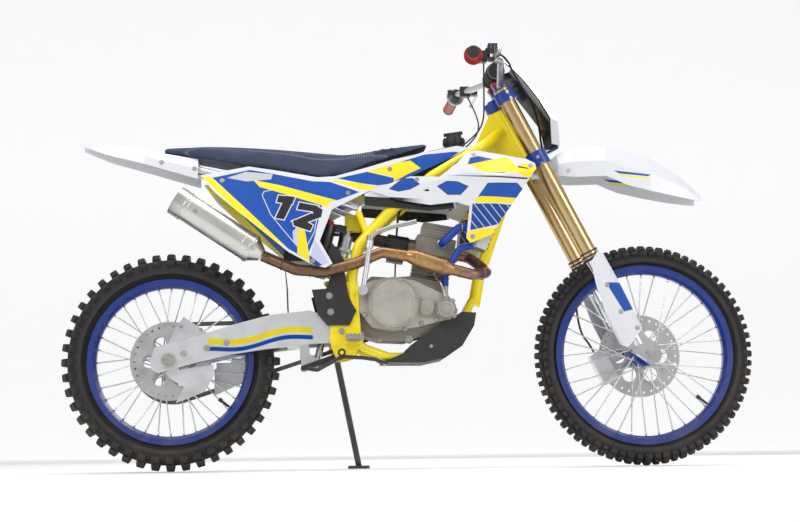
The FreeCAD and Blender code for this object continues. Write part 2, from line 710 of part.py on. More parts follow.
clampSet = cut("clamp_set", fuse("clamp_whole", clamps + [stem, plateStay] + risers), [barSeat])
node("triple_clamps", alongFork(clampSet))


# Frame

def pair(name, radius, points, bend):
    """The same tube on both sides."""
    flipped = [(x, "-(%s)" % y, z) for x, y, z in points]
    return [tube(name + "_left", radius, points, bend), tube(name + "_right", radius, flipped, bend)]


spars = pair("spar", "spar_radius", [
    (300, 20, 1052), (225, 70, 992), (70, "frame_half", 896), (-60, "frame_half", 790), (-158, "frame_half", 684),
    (-180, "frame_half", 590), (-180, "frame_half", 452)], 50)
cradles = pair("cradle", "cradle_radius", [
    (198, 7, 520), (160, 52, 446), (122, 74, 380), (44, 80, 341.6), (-70, 80, 341.6), (-140, 98, 366), (-172, "frame_half", 388)], 24)
downtube = tube("downtube", 19, [(352, 0, 966), (222, 0, 600), (204, 0, 504)], 60)
stays = pair("seat_stay", "subframe_radius", [(-132, "frame_half", 712), (-158, "frame_half", 786)], 10)
plateOutline = [("pivot_x - 36", "pivot_z - 20"), ("pivot_x - 30", "pivot_z + 40"), ("pivot_x + 16", "pivot_z + 150"),
                ("pivot_x + 52", "pivot_z + 150"), ("pivot_x + 54", "pivot_z + 60"), ("pivot_x + 60", "pivot_z - 28"),
                ("pivot_x + 44", "pivot_z - 72"), ("pivot_x + 14", "pivot_z - 80"), ("pivot_x - 18", "pivot_z - 80"), ("pivot_x - 32", "pivot_z - 46")]
plates = [sidePlate("pivot_plate%d" % (s + 2), plateOutline, 10, "%d * (arm_inside + arm_thickness + 6.5)" % s) for s in both]
gussetOutline = [(262, 1110), (292, 1122), (372, 962), (350, 946), (226, 996), (222, 1024)]
gusset = sidePlate("head_gusset", gussetOutline, 46)
headStart = forkPoint("-stem_setback", 0, "lower_clamp + lower_clamp_height + 0.8")
headAxis = Vector(*forkPoint(0, 0, 1)) - Vector(*forkPoint(0, 0, 0))
headTube = rod("head_tube", "head_radius", "upper_clamp - lower_clamp - lower_clamp_height - 1.6", headStart, tuple(headAxis))
headBore = rod("head_bore", "stem_radius + 0.05", 400, forkPoint("-stem_setback", 0, "lower_clamp - 40"), tuple(headAxis))
clearLow = rod("head_clear_low", 36, 60, forkPoint("-stem_setback", 0, "lower_clamp + lower_clamp_height - 59.2"), tuple(headAxis))
clearHigh = rod("head_clear_high", 36, 60, forkPoint("-stem_setback", 0, "upper_clamp - 0.8"), tuple(headAxis))
pivotBolt = crossRod("pivot_bolt", "pivot_radius", "2*arm_inside + 2*arm_thickness + 36", "pivot_x", "pivot_z")
shockCross = crossRod("shock_mount", 9, "2*frame_half", "shock_x + 28", "shock_z + 28")
shockEars = [block("shock_ear%d" % (s + 2), 46, 6, 50, ("shock_x + 12", 20 * s, "shock_z + 12")) for s in both]
shockBolt = crossRod("shock_bolt", 6, 46, "shock_x", "shock_z")
crossTube = crossRod("lower_cross", 11, "2*frame_half + 8", "link_x", "link_z")
engineMounts = [crossRod("engine_mount", 6, 116, 142.6, 452)]
engineMounts += [block("mount_tab%d" % (s + 2), 28, 8, 20, (154, 54 * s, 452)) for s in both]
coolerRods = [crossRod("cooler_rod_low", 7, 149.2, 236, 690), crossRod("cooler_rod_high", 7, 149.2, 300, 840)]
pegMounts = [block("peg_mount%d" % (s + 2), 54, 17, 28, (-176, 124.6 * s, 392)) for s in both]
pedalPin = rod("pedal_pin", 6, 41, (-214, -153, 352))
standAxis = Vector(0.272, 0.859, 0.4345)
standHinge = Vector(-229, 141, 382)
standMount = fuse("stand_mount", [
    block("stand_mount_block", 36, 10, 30, (-230, 121, 384)),
    rod("stand_pin", 6, 36, tuple(standHinge - standAxis * 21), tuple(standAxis)),
])
frameWhole = fuse("frame_whole", spars + cradles + [downtube] + stays + plates + [gusset, headTube, pivotBolt, shockCross]
                  + shockEars + [shockBolt, crossTube] + engineMounts + coolerRods + pegMounts + [pedalPin, standMount])
frameWhole.Refine = False
node("main_frame", cut("main_frame", frameWhole, [headBore, clearLow, clearHigh]))

rails = pair("seat_rail", "subframe_radius", [(-159.5, "frame_half", 797), (-330, 84, 862), (-470, 74, 880), (-690, 52, 938)], 60)
struts = pair("seat_strut", "subframe_radius", [(-205, "frame_half", 588), (-330, 92, 700), (-545, 74, 884)], 40)
railCross = [crossRod("rail_cross%d" % i, r, w, x, z) for i, (r, w, x, z) in enumerate([(10, 108, -660, 946.6), (8, 146, -450, 879)])]
node("subframe", fuse("subframe", rails + struts + railCross))


# Engine

caseOutline = [(-183, 470), (-160, 412), (-100, 392), (-20, 388), (70, 412), (136, 452), (146, 486), (118, 530),
               (112, 568), (0, 590), (-60, 586), (-120, 590), (-158, 556), (-158, 500)]
case = sidePlate("case", caseOutline, 123, -13.5)
caseBore = rod("shaft_bore", 11.95, 24, ("countershaft_x", 26, "countershaft_z"))
shiftBore = rod("shift_bore", 7.05, 22, (-78, 28, 414))
node("crankcase", cut("crankcase", case, [caseBore, shiftBore]))

coverOutline = [(-158, 478), (-122, 430), (-56, 418), (20, 430), (100, 450), (128, 480), (112, 522), (60, 548),
                (10, 572), (-56, 584), (-120, 572), (-160, 552)]
cover = sidePlate("clutch_case", coverOutline, 44, -97.3)
clutchCap = rod("clutch_cap", "clutch_radius", 30, (-56, -148, 501))
filterCap = rod("filter_cap", 25, 14, (45, -132, 488))
pump = rod("water_pump", 32, 22, (104, -140, 482))
pumpPipe = bar("pump_pipe", 9, (104, -122, 500), (106, -104, 552))
kickBoss = rod("kick_boss", 12, 20, (-150, -138, 537))
rightCover = fuse("right_cover", [cover, clutchCap, filterCap, pump, pumpPipe, kickBoss])
kickBore = rod("kick_bore", 8.05, 50, (-150, -140, 537))
rightCover = cut("right_cover_bored", rightCover, [kickBore])
leftCover = rod("ignition_cover", 64, 44, (45, 48.3, 480))
leftBase = rod("ignition_base", 74, 14, (45, 48.3, 480))
node("engine_covers", group("engine_covers", [rightCover, fuse("left_cover", [leftCover, leftBase])]))


def onBore(along, x=0):
    """A point on the cylinder axis, leaning ten degrees forward from the crankshaft."""
    lean = math.radians(10)
    return (45 + along * math.sin(lean) + x * math.cos(lean), 0, 478 + along * math.cos(lean) - x * math.sin(lean))


cylinderParts = [block("cylinder", 104, 112, 80, onBore(140), 10), block("head", 122, 124, 62, onBore(206), 10),
                 block("cam_cover", 96, 116, 46, onBore(256), 10)]
fins = [block("joint%d" % i, 116, 122, 5, onBore(a), 10) for i, a in enumerate((119, 178, 236))]
port = bar("exhaust_port", 22, onBore(200, 40), onBore(200, 78))
inletPort = bar("inlet_port", 22, onBore(205, -40), onBore(205, -82))
head = fuse("head_whole", cylinderParts + fins + [port, inletPort])
trim = common("case_trim", head, block("above_case", 400, 300, 300, (60, 0, 741)))
node("cylinder_head", trim)

carb = fuse("carb", [bar("carb_throat", 26, onBore(205, -83), onBore(205, -150)), block("carb_bowl", 52, 54, 70, onBore(180, -116), 10)])
boot = tube("boot", 19, [onBore(205, -150.4), onBore(205, -174), (-150, 56, 726), (-212, 60, 752), (-261.7, 60, 752)], 18)
airboxOutline = [(-262, 660), (-262, 866), (-330, 846), (-385, 850), (-385, 640), (-300, 640)]
airbox = sidePlate("airbox_case", airboxOutline, 130)
node("intake", group("intake", [carb, boot, airbox]))

headerPath = [onBore(200, 78.4), onBore(200, 112), (240, -92, 598), (190, -138, 586), (110, -142, 606), (0, -144, 642),
              (-90, -144, 656), (-170, -144, 622), (-263, -143, 597), (-350, -140, 604), (-430, -124, 640), (-452, -124, 650)]
header = tube("header", "header_radius", headerPath, 28)
chamber = bar("header_chamber", 25, (100, -143, 610), (14, -144, 638))
node("exhaust_header", fuse("exhaust_header", [header, chamber]))

canStart = Vector(-454.3, -124, 651.5)
canLine = (Vector(-690, -124, 806) - canStart).normalize()
canEnd = canStart + canLine * 280
can = bar("can", "silencer_radius", tuple(canStart + canLine * 31), tuple(canEnd))
cone = doc.addObject("Part::Cone", "can_cone")
bind(cone, "Radius1", "header_radius + 3")
bind(cone, "Radius2", "silencer_radius - 4")
bind(cone, "Height", "31")
cone.Placement = Placement(canStart, Rotation(Vector(0, 0, 1), canLine))
endCap = bar("can_end", "silencer_radius + 2", tuple(canEnd), tuple(canEnd + canLine * 31))
tailBore = bar("tail_bore", 20, tuple(canEnd - canLine * 30), tuple(canEnd + canLine * 60))
node("silencer", cut("silencer", fuse("can_whole", [can, cone, endCap]), [tailBore]))


# Cooling

coreBox = block("right_core", 34, 74, 210, (254, -112, 762), 24)
shroudPegs = [rod("shroud_peg%d" % i, 6, length, (x, -148 - length, z)) for i, (x, z, length) in enumerate([(262, 800, 29.1), (214, 700, 17.7)])]
radiatorBox = fuse("right_radiator", [coreBox] + shroudPegs)
hoses = [
    tube("top_hose", 12, [(100, -62.4, 690), (100, -98, 690), (150, -112, 736), (218.3, -112, 736)], 16),
    tube("low_hose", 10, [(106, -104, 555.4), (106, -104, 592), (152, -104, 672), (193.6, -107.3, 678.7)], 20),
]
leftRadiator = mirrored("left_radiator", radiatorBox)
node("radiators", group("radiators", [radiatorBox, leftRadiator] + hoses))


# Fuel and seat

def wedge(low, high, lowWidth, highWidth, shoulder=10):
    """A six-sided section: low edge, side walls, sloped shoulders."""
    return [("-(%s)" % lowWidth, low), (lowWidth, low), (highWidth, high - shoulder), ("%s - 16" % highWidth, high),
            ("16 - %s" % highWidth, high), ("-(%s)" % highWidth, high - shoulder)]


tankStations = [(-60, wedge(872, 940, "58", "50")), (60, wedge(850, 985, "74", "60")), (140, wedge(850, 1004, "68", "54")),
                (215, wedge(880, 1000, "44", "38"))]
tank = lofted("tank_shell", "YZ_Plane", tankStations)
capSeat = rod("cap_seat", 30, 20, (150, 0, 990), (0, 0, 1))
tankTongue = block("tank_tongue", 18, 30, 14, (216.7, 0, 989))
node("fuel_tank", fuse("fuel_tank", [tank, capSeat, tankTongue]))
capDome = rod("cap_skirt", 33, 24, (150, 0, 1010.5), (0, 0, 1))
capTop = rod("cap_top", 24, 14, (150, 0, 1034), (0, 0, 1))
capGrip = block("cap_grip", 60, 8, 10, (148, 0, 1050), -8)
node("fuel_cap", fuse("fuel_cap", [capDome, capTop, capGrip]))

seatStations = [(-758, wedge(978, 1000, "50", "54")), (-640, wedge(958, 1000, "seat_width/2 + 1", "seat_width/2 - 1")),
                (-500, wedge(932, 993, "seat_width/2 + 4", "seat_width/2")), (-400, wedge(918, 986, "seat_width/2 + 6", "seat_width/2 - 2")),
                (-282, wedge(898, 975, "seat_width/2 + 8", "seat_width/2 - 6")), (-200, wedge(900, 971, "seat_width/2 + 7", "seat_width/2 - 9")),
                (-120, wedge(944, 984, "seat_width/2 + 2", "seat_width/2 - 15")), (-70, wedge(956, 994, "seat_width/2 - 4", "seat_width/2 - 20")),
                (64, wedge(1000, 1016, "50", "42", 6))]
node("seat", lofted("seat", "YZ_Plane", seatStations))


# Bodywork

def shell(name, stations):
    """A thin skin lofted through sections of (y, z) points, outer face first."""
    sections = []
    for x, points in stations:
        outer = [(-y, z) for y, z in points]
        inner = [(-y + num("skin"), z) for y, z in reversed(points)]
        sections.append((x, outer + inner))
    return lofted(name, "YZ_Plane", sections)


panelSkin = shell("panel_skin", [
    (-660, [(74, 970), (92, 905), (120, 840)]), (-500, [(88, 970), (108, 900), (172, 740)]),
    (-420, [(90, 960), (126, 860), (178, 640)]), (-300, [(90, 940), (126, 840), (178, 580)]),
    (-220, [(92, 940), (126, 840), (174, 580)]), (-100, [(88, 980), (112, 890), (140, 780)]),
    (50, [(80, 1010), (100, 940), (122, 850)]), (210, [(62, 1030), (84, 985), (112, 900)])])
panelOutline = [(-641, 903), (-494, 929), (-400, 914), (-283, 894), (-230, 897), (-127, 926), (-45, 952), (150, 997), (192, 991),
                (118, 950), (0, 894), (-126, 848), (-240, 790), (-278, 690), (-240, 620), (-262, 607), (-303, 618), (-372, 655),
                (-423, 698), (-511, 770), (-599, 848)]
panelBlank = sidePlate("panel_blank", panelOutline, 200, -130)
rightPanel = common("right_side_panel", panelSkin, panelBlank)
node("side_panels", group("side_panels", [rightPanel, mirrored("left_side_panel", rightPanel)]))

shroudSkin = shell("shroud_skin", [
    (-135, [(122, 930), (134, 860), (138, 780)]), (60, [(126, 960), (152, 870), (154, 700)]),
    (170, [(120, 1000), (170, 900), (164, 650)]), (262, [(126, 1000), (190, 885), (172, 650)]),
    (395, [(150, 990), (190, 900), (182, 650)])])
shroudOutline = [(-121, 848), (8, 893), (88, 887), (114, 906), (181, 968), (212, 971), (356, 938), (380, 924), (383, 906),
                 (335, 837), (268, 742), (246, 705), (179, 681), (167, 696), (178, 794), (138, 807), (60, 800), (-40, 816)]
shroudBlank = sidePlate("shroud_blank", shroudOutline, 200, -130)
rightShroud = common("right_shroud", shroudSkin, shroudBlank)
trimOutline = [(-140, 838), (-118, 850), (0, 870), (70, 850), (142, 842), (142, 794), (61, 785), (-47, 795), (-140, 803)]
bellyTrim = sidePlate("belly_trim", trimOutline, 3.4, "-(frame_half + spar_radius + 2)")
node("shrouds", group("shrouds", [rightShroud, mirrored("left_shroud", rightShroud), bellyTrim, mirrored("left_trim", bellyTrim)]))


def channel(name, stations):
    """A fender: an inverted channel lofted along the machine."""
    def sections(shrink, drop):
        rows = []
        for x, top, low, half in stations:
            rows.append((x, [(-(half - shrink), low - drop), (half - shrink, low - drop), (half - shrink - 4, (top + low) / 2),
                             ((half - shrink) * 0.66, top - shrink), (-(half - shrink) * 0.66, top - shrink),
                             (-(half - shrink - 4), (top + low) / 2)]))
        return rows
    outer = lofted(name + "_outer", "YZ_Plane", sections(0, 0))
    inner = lofted(name + "_inner", "YZ_Plane", sections(num("skin"), 6))
    return cut(name, outer, [inner])


node("rear_fender", channel("rear_fender", [(-1013, 1021, 1003, 58), (-925, 1008, 970, 78), (-812, 992, 940, 90),
                                            (-764, 978.4, 926, 92), (-650, 959.2, 893, 93)]))
flapOutline = [(-389.3, 664), (-385.3, 664), (-385.3, 640), (-376, 560), (-374, 492), (-378, 492), (-380, 560)]
node("mud_flap", sidePlate("mud_flap", flapOutline, 140))
node("front_fender", channel("front_fender", [(398, 922, 909, 36), (422, 934.2, 912, 42), (470, 976, 904, 70), (522, 997, 898, 84), (619, 998, 901, 86),
                                              (683, 985, 873, 84), (760, 963, 854, 80), (850, 912, 836, 70), (925, 846, 824, 52)]))


def plateSection(front, half):
    return [(front, -half * 0.45), (front, half * 0.45), (front - 32, half), (front - 36, half - 4),
            (front - 5, half * 0.45 - 2), (front - 5, 2 - half * 0.45), (front - 36, 4 - half), (front - 32, -half)]


node("number_plate", lofted("number_plate", "XY_Plane", [
    (1008, plateSection(484, 62)), (1083, plateSection(476, 96)), (1139, plateSection(440, 110)),
    (1194, plateSection(398, 112)), (1230, plateSection(368, 104)), (1260, plateSection(340, 88))]))

skidLow = [(200, 474), (193, 434), (155, 372), (102, 336), (40, 323), (-91, 324)]
skidOuter = sidePlate("skid_outer", skidLow + [(-24, 352), (-5, 374), (57, 419), (156, 477)], 204)
skidInner = sidePlate("skid_inner", [(196, 490), (188.6, 436), (151.6, 374.6), (100, 340), (39.6, 327), (-100, 328), (-100, 520)], 197)
node("skid_plate", cut("skid_plate", skidOuter, [skidInner]))
guardShape = [(-239, 688), (-205, 640), (-202, 590), (-190, 520), (-168, 480), (-189, 436), (-256, 436), (-285, 470),
              (-303, 545), (-260, 548), (-238, 605), (-252, 660)]
frameGuard = sidePlate("right_frame_guard", guardShape, 4, "-(frame_half + spar_radius + 2.3)")
node("frame_guards", group("frame_guards", [frameGuard, mirrored("left_frame_guard", frameGuard)]))


# Rear suspension

top = Vector(num("shock_x"), 0, num("shock_z"))
eye = Vector(num("eye_x"), 0, num("eye_z"))
shockLine = (eye - top).normalize()
shockLength = (eye - top).Length


def onShock(along):
    return tuple(top + shockLine * along)


def alongShock(name, radius, start, end):
    return rod(name, radius, end - start, onShock(start), tuple(shockLine))


springTop = 80
springEnd = springTop + num("spring_length")
topEye = crossRod("shock_top_eye", 14, 33, "shock_x", "shock_z")
neck = alongShock("shock_neck", 12, 8, 32)
bodyTube = alongShock("shock_tube", 22, 28, 238)
collar = alongShock("spring_collar", 37, springTop - 10, springTop - 0.3)
bodySolid = fuse("shock_body_solid", [topEye, neck, bodyTube, collar])
boltBore = crossRod("shock_top_bore", 6.05, 60, "shock_x", "shock_z")
rodBore = alongShock("shock_rod_bore", 7.05, 96, 300)
node("shock_body", cut("shock_body", bodySolid, [boltBore, rodBore]))

rodBar = alongShock("rod_bar", 7, 168, shockLength - 8)
seatRing = alongShock("spring_seat", 37, springEnd + 0.3, springEnd + 10)
rodSleeve = alongShock("rod_sleeve", 11, springEnd + 2, shockLength - 10)
eyeRing = crossRod("rod_eye", 13, 24, "eye_x", "eye_z")
eyeBore = crossRod("rod_eye_bore", 7.5, 60, "eye_x", "eye_z")
rodSolid = fuse("shock_rod_solid", [rodBar, seatRing, rodSleeve, eyeRing])
node("shock_rod", cut("shock_rod", rodSolid, [eyeBore]))

helix = doc.addObject("Part::Helix", "spring_path")
bind(helix, "Pitch", "(spring_length - 2*wire_radius - 0.6) / 8")
bind(helix, "Height", "spring_length - 2*wire_radius - 0.6")
bind(helix, "Radius", "spring_radius")
wireCircle = doc.addObject("Part::Circle", "spring_wire")
bind(wireCircle, "Radius", "wire_radius")
wireCircle.Placement = Placement(Vector(num("spring_radius"), 0, 0), Rotation(Vector(1, 0, 0), 90))
coil = doc.addObject("Part::Sweep", "spring_coil")
coil.Sections = [wireCircle]
coil.Spine = (helix, ["Edge1"])
coil.Solid = True
coil.Frenet = True
turn = Rotation(Vector(0, 0, 1), shockLine)
start = Vector(*onShock(springTop + num("wire_radius") + 0.3))
doc.recompute()
spring = doc.addObject("Part::Compound", "shock_spring")
spring.Links = [coil]
spring.Placement = Placement(start, turn)
node("shock_spring", spring)

rockerOutline = [("rocker_x - 11", "rocker_z + 7"), ("rocker_x + 4", "rocker_z + 12"), ("eye_x + 4", "eye_z + 11"),
                 ("eye_x + 12", "eye_z - 2"), ("eye_x + 2", "eye_z - 12"), ("link_end_x + 8", "link_end_z - 9"),
                 ("link_end_x - 7", "link_end_z - 9")]
rockerPlates = [sidePlate("rocker_plate%d" % i, rockerOutline, 8, y) for i, y in enumerate((-18, 18))]
rockerHub = crossRod("rocker_hub", 12, 51, "rocker_x", "rocker_z")
rockerPin = crossRod("rocker_pin", 6, 66, "rocker_x", "rocker_z")
rockerEye = crossRod("rocker_eye_pin", 6, 44, "eye_x", "eye_z")
linkBore = crossRod("link_bore", 6.6, 80, "link_end_x", "link_end_z")
node("rocker", cut("rocker", fuse("rocker_solid", rockerPlates + [rockerHub, rockerPin, rockerEye]), [linkBore]))

linkOutline = [("link_end_x - 8", "link_end_z + 3"), ("link_end_x - 2", "link_end_z + 8"), ("link_x - 8", "link_z + 12"),
               ("link_x + 8", "link_z + 12"), ("link_x + 14", "link_z"), ("link_x + 6", "link_z - 13"),
               ("link_x - 8", "link_z - 12"), ("link_end_x + 3", "link_end_z - 8"), ("link_end_x - 6", "link_end_z - 6")]
linkBars = [sidePlate("link_bar%d" % i, linkOutline, 6, y) for i, y in enumerate((-29.5, 29.5))]
linkPin = crossRod("link_pin", 5.5, 66, "link_end_x", "link_end_z")
linkBoss = crossRod("link_boss", 16, 64, "link_x", "link_z")
linkSeat = crossRod("link_seat", 11.05, 80, "link_x", "link_z")
node("pull_link", cut("pull_link", fuse("link_solid", linkBars + [linkPin, linkBoss]), [linkSeat]))


# Handlebar

barEnd = "bar_width/2"
barMiddle = forkPoint(10, 0, "upper_clamp + upper_clamp_height + 24")
barX = barMiddle[0]
barZ = barMiddle[2]
gripX = 187
endDrop = 21
reachOut = Vector(-14, num(barEnd) - 268, -endDrop).normalize()
barPoints = [(gripX - 14, "-(%s)" % barEnd, "bar_height - %d" % endDrop), (gripX, -268, "bar_height"), (barX - 7, -152, "bar_height + 16"),
             (barX, -66, barZ), (barX, 66, barZ), (barX - 7, 152, "bar_height + 16"), (gripX, 268, "bar_height"),
             (gripX - 14, barEnd, "bar_height - %d" % endDrop)]
barTube = tube("bar_tube", "bar_radius", barPoints, 28)
crossBrace = crossRod("cross_brace", 6, 262, barX - 6, "bar_height + 4")
barWhole = fuse("bar_whole", [barTube, crossBrace])
padRoll = crossRod("pad_roll", 27, 146, barX - 12, "bar_height + 3")
padBlock = cut("bar_pad", padRoll, [crossRod("pad_bore", 6.3, 200, barX - 6, "bar_height + 4")])


def gripLine(side):
    """Start and direction of a grip on the bar's end run."""
    start = Vector(gripX, side * 268, num("bar_height"))
    along = Vector(reachOut.x, side * reachOut.y, reachOut.z)
    return start + along * (num(barEnd) - 268 - num("grip_length") - 1), along


def grip(name, side, clearance):
    start, along = gripLine(side)
    sleeve = rod(name + "_sleeve", "grip_radius", "grip_length", tuple(start), tuple(along))
    flange = rod(name + "_flange", 29, 5, tuple(start), tuple(along))
    bore = rod(name + "_bore", "bar_radius + %s" % clearance, 300, tuple(start - along * 50), tuple(along))
    return cut(name, fuse(name + "_solid", [sleeve, flange]), [bore])


leftGrip = grip("left_grip", 1, "0.02")
node("handlebar", group("handlebar", [barWhole, padBlock, leftGrip]))
node("throttle_grip", grip("throttle_grip", -1, "0.06"))


def perch(name, side):
    """A lever perch clamped on the bar, with its pivot pin."""
    base = Vector(gripX + 26, side * 238, num("bar_height") + 4)
    shift = Vector(32, side * 12, 0)
    clampBlock = block(name + "_clamp", 34, 26, 34, tuple(base), 0)
    reach = block(name + "_reach", 44, 28, 20, tuple(base + Vector(20, side * 6, 0)))
    pivotPin = rod(name + "_pin", 4, 22, tuple(base + shift + Vector(0, 0, -11)), (0, 0, 1))
    return [clampBlock, reach, pivotPin], base + shift


rightPerch, rightPivot = perch("right_perch", -1)
leftPerch, leftPivot = perch("left_perch", 1)
cylinderBarrel = rod("master_barrel", 11, 56, (gripX + 46, -244, "bar_height + 21"), (0.66, 0.75, 0.05))
reservoir = rod("reservoir", 16, 26, (gripX + 64, -224, "bar_height + 18"), (0, 0, 1))
housingStart, housingAlong = gripLine(-1)
housing = rod("throttle_housing", 21, 15, tuple(housingStart - housingAlong * 15.5), tuple(housingAlong))
switchStart, switchAlong = gripLine(1)
switchBody = rod("switch_body", 18, 22, tuple(switchStart - switchAlong * 22.5), tuple(switchAlong))
buttonBoss = rod("button_boss", 9, 14, tuple(switchStart - switchAlong * 12 + Vector(-12, 0, 6)), (-0.8, 0, 0.6))
buttonWell = rod("button_well", 5.3, 12, tuple(switchStart - switchAlong * 12 + Vector(-16, 0, 9)), (-0.8, 0, 0.6))
barRun = tube("bar_run", "bar_radius + 0.1", barPoints, 28)
rightSet = cut("right_controls", fuse("right_controls_solid", rightPerch + [cylinderBarrel, reservoir, housing]), [barRun])
leftSet = cut("left_controls", fuse("left_controls_solid", leftPerch + [switchBody, buttonBoss]), [barRun, buttonWell])


def lever(name, side, pivot):
    """A hand lever: a bored boss, a bent blade and a ball end."""
    boss = rod(name + "_boss", 9, 9, tuple(pivot + Vector(0, 0, -4.5)), (0, 0, 1))
    bend = pivot + Vector(14, side * 30, 0)
    tip = pivot + Vector(6, side * 138, -14)
    blade = tube(name + "_blade", 5, [tuple(pivot + Vector(4, side * 4, 0)), tuple(bend), tuple(tip)], 20)
    end = ball(name + "_ball", 8, tuple(tip))
    bore = rod(name + "_bore", 4.05, 40, tuple(pivot + Vector(0, 0, -20)), (0, 0, 1))
    return cut(name, fuse(name + "_solid", [boss, blade, end]), [bore])


def leverSlot(name, pivot):
    return rod(name, 16, 10.4, tuple(pivot + Vector(0, 0, -5.2)), (0, 0, 1))


rightSlot = cut("right_slot", leverSlot("right_slot_disc", rightPivot), [rod("right_slot_core", 4, 20, tuple(rightPivot + Vector(0, 0, -10)), (0, 0, 1))])
leftSlot = cut("left_slot", leverSlot("left_slot_disc", leftPivot), [rod("left_slot_core", 4, 20, tuple(leftPivot + Vector(0, 0, -10)), (0, 0, 1))])
rightSet = cut("right_controls_slotted", rightSet, [rightSlot])
leftSet = cut("left_controls_slotted", leftSet, [leftSlot])
node("bar_controls", group("bar_controls", [rightSet, leftSet]))
node("brake_lever", lever("brake_lever", -1, rightPivot))
node("clutch_lever", lever("clutch_lever", 1, leftPivot))
buttonStart = switchStart - switchAlong * 12 + Vector(-16, 0, 9) + Vector(-0.8, 0, 0.6) * 5
node("stop_button", rod("stop_button", 5, 9, tuple(buttonStart), (-0.8, 0, 0.6)))


# Foot controls

kickShaft = rod("kick_shaft", 8, 76, (-150, -188, 537))
kickHead = rod("kick_head", 15, 20, (-150, -188, 537))
kickCrank = tube("kick_crank", 8, [(-148, -180, 545), (-138, -180, 605), (-130, -183, 668)], 30)
kickKnuckle = bar("kick_knuckle", 12, (-130.5, -183, 664), (-127, -183, 686))
node("kick_arm", fuse("kick_arm", [kickShaft, kickHead, kickCrank, kickKnuckle]))
kickFoot = tube("kick_foot", 7, [(-126.9, -183, 693.5), (-106, -184, 712), (-61, -186, 728), (14, -188, 744)], 14)
kickTop = bar("kick_top", 11, (-126.95, -183, 686.3), (-124.7, -183, 700.5))
node("kick_pedal", fuse("kick_pedal", [kickFoot, kickTop]))

pedalRod = tube("pedal_rod", 6, [(-316, -147, 305), (-288, -147, 300), (-214, -147, 340), (-150, -147, 336), (-112, -152, 330),
                                 (-90, -160, 316)], 16)
pedalBoss = rod("pedal_boss", 12, 15, (-214, -154, 352))
pedalPad = block("pedal_pad", 26, 40, 7, (-92, -168, 320), 20)
pedalNeck = block("pedal_neck", 16, 12, 22, (-214, -147, 344))
pedalBore = rod("pedal_bore", 6.05, 60, (-214, -180, 352))
node("brake_pedal", cut("brake_pedal", fuse("pedal_solid", [pedalRod, pedalBoss, pedalPad, pedalNeck]), [pedalBore]))

shiftShaft = rod("shift_shaft", 7, 44, (-78, 30, 414))
shiftBoss = rod("shift_boss", 12, 12, (-78, 72, 414))
shiftBlade = tube("shift_blade", 5, [(-72, 79, 414), (-40, 92, 411), (20, 112, 410)], 20)
shiftTip = rod("shift_tip", 8, 30, (20, 104, 410))
shiftSet = fuse("shift_lever", [shiftShaft, shiftBoss, shiftBlade, shiftTip])
node("shift_lever", shiftSet)


def footpeg(name, side):
    """A folding peg: a toothed foot bed on a hinge boss."""
    bed = block(name + "_bed", 54, 78, 14, (-176, side * 182, 394))
    window = block(name + "_window", 34, 56, 30, (-176, side * 184, 394))
    tongue = block(name + "_tongue", 22, 20, 16, (-176, side * 143.5, 394))
    barrel = rod(name + "_barrel", 6, 30, (-191, side * 147, 402), (1, 0, 0))
    return cut(name, fuse(name + "_solid", [bed, tongue, barrel]), [window])


node("right_footpeg", footpeg("right_footpeg", -1))
node("left_footpeg", footpeg("left_footpeg", 1))

standTop = (-229, 147, 378)
standFoot = (-150, 306, 10)
standLeg = bar("stand_leg", 10, standTop, standFoot)
standEye = rod("stand_eye", 14, 14, tuple(standHinge - standAxis * 7), tuple(standAxis))
standShoe = block("stand_shoe", 70, 46, 10, (-150, 308, 5))
standBore = rod("stand_bore", 6.05, 60, tuple(standHinge - standAxis * 30), tuple(standAxis))
node("side_stand", cut("side_stand", fuse("stand_solid", [standLeg, standEye, standShoe]), [standBore]))


# Front brake and lines

jawsOuter = block("front_jaws_block", 50, 50, 104, (-98, "disc_offset", 22))
jawsSlot = block("front_jaws_slot", 60, "disc_thickness + 1.4", 140, (-86, "disc_offset", 22))
jawsMount = block("front_jaws_mount", 90, 4.4, 56, (-62, "disc_offset + 24.5", 44))
frontCaliper = cut("front_caliper_solid", fuse("front_jaws_body", [jawsOuter, jawsMount]), [jawsSlot])
node("front_caliper", alongFork(group("front_caliper", [frontCaliper])))

hosePath = [(gripX + 83.4, -201.6, "bar_height + 23.8"), (gripX + 112, -169, "bar_height + 24"), (340, -96, 1206),
            (392, -60, 1140), (424, 0, 1080), (436, 50, 1010), forkPoint(60, 120, 560), forkPoint(0, 150, 380),
            forkPoint(-80, 140, 200), forkPoint(-99, 112, 140), forkPoint(-99, 70, 110), forkPoint(-99, 70, 74.5)]
node("brake_hose", tube("brake_hose", "hose_radius", hosePath, 18))
upperRun = [(222, 232, "bar_height - 16"), (236, 110, 1140), (240, 52, 1070), (200, 60, 1022), (120, 84, 960), (40, 82, 900), (-20, 80, 838)]
cablePaths = [[(x, -y, z) for x, y, z in upperRun] + [(-36, -36, 776), (-36.5, -10, 725.6)],
              upperRun + [(-34, 74, 700), (-40, 40, 588.5)]]
cables = [tube("cable%d" % i, "cable_radius", path, 16) for i, path in enumerate(cablePaths)]
node("control_cables", group("control_cables", cables))


# Hand over

doc.recompute()
os.makedirs("parts", exist_ok=True)
for item in doc.Objects:
    if "Invalid" in item.State or "Error" in item.State:
        raise SystemExit("%s does not build: %s" % (item.Name, item.State))
for item in nodes:
    if item.Shape.isNull() or not item.Shape.isValid():
        raise SystemExit("%s has no valid shape" % item.Label)
    item.Shape.exportStep("parts/%s.step" % item.Label)
print("wrote", len(nodes), "sub-parts")
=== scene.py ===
import math

import bpy
from mathutils import Matrix, Vector


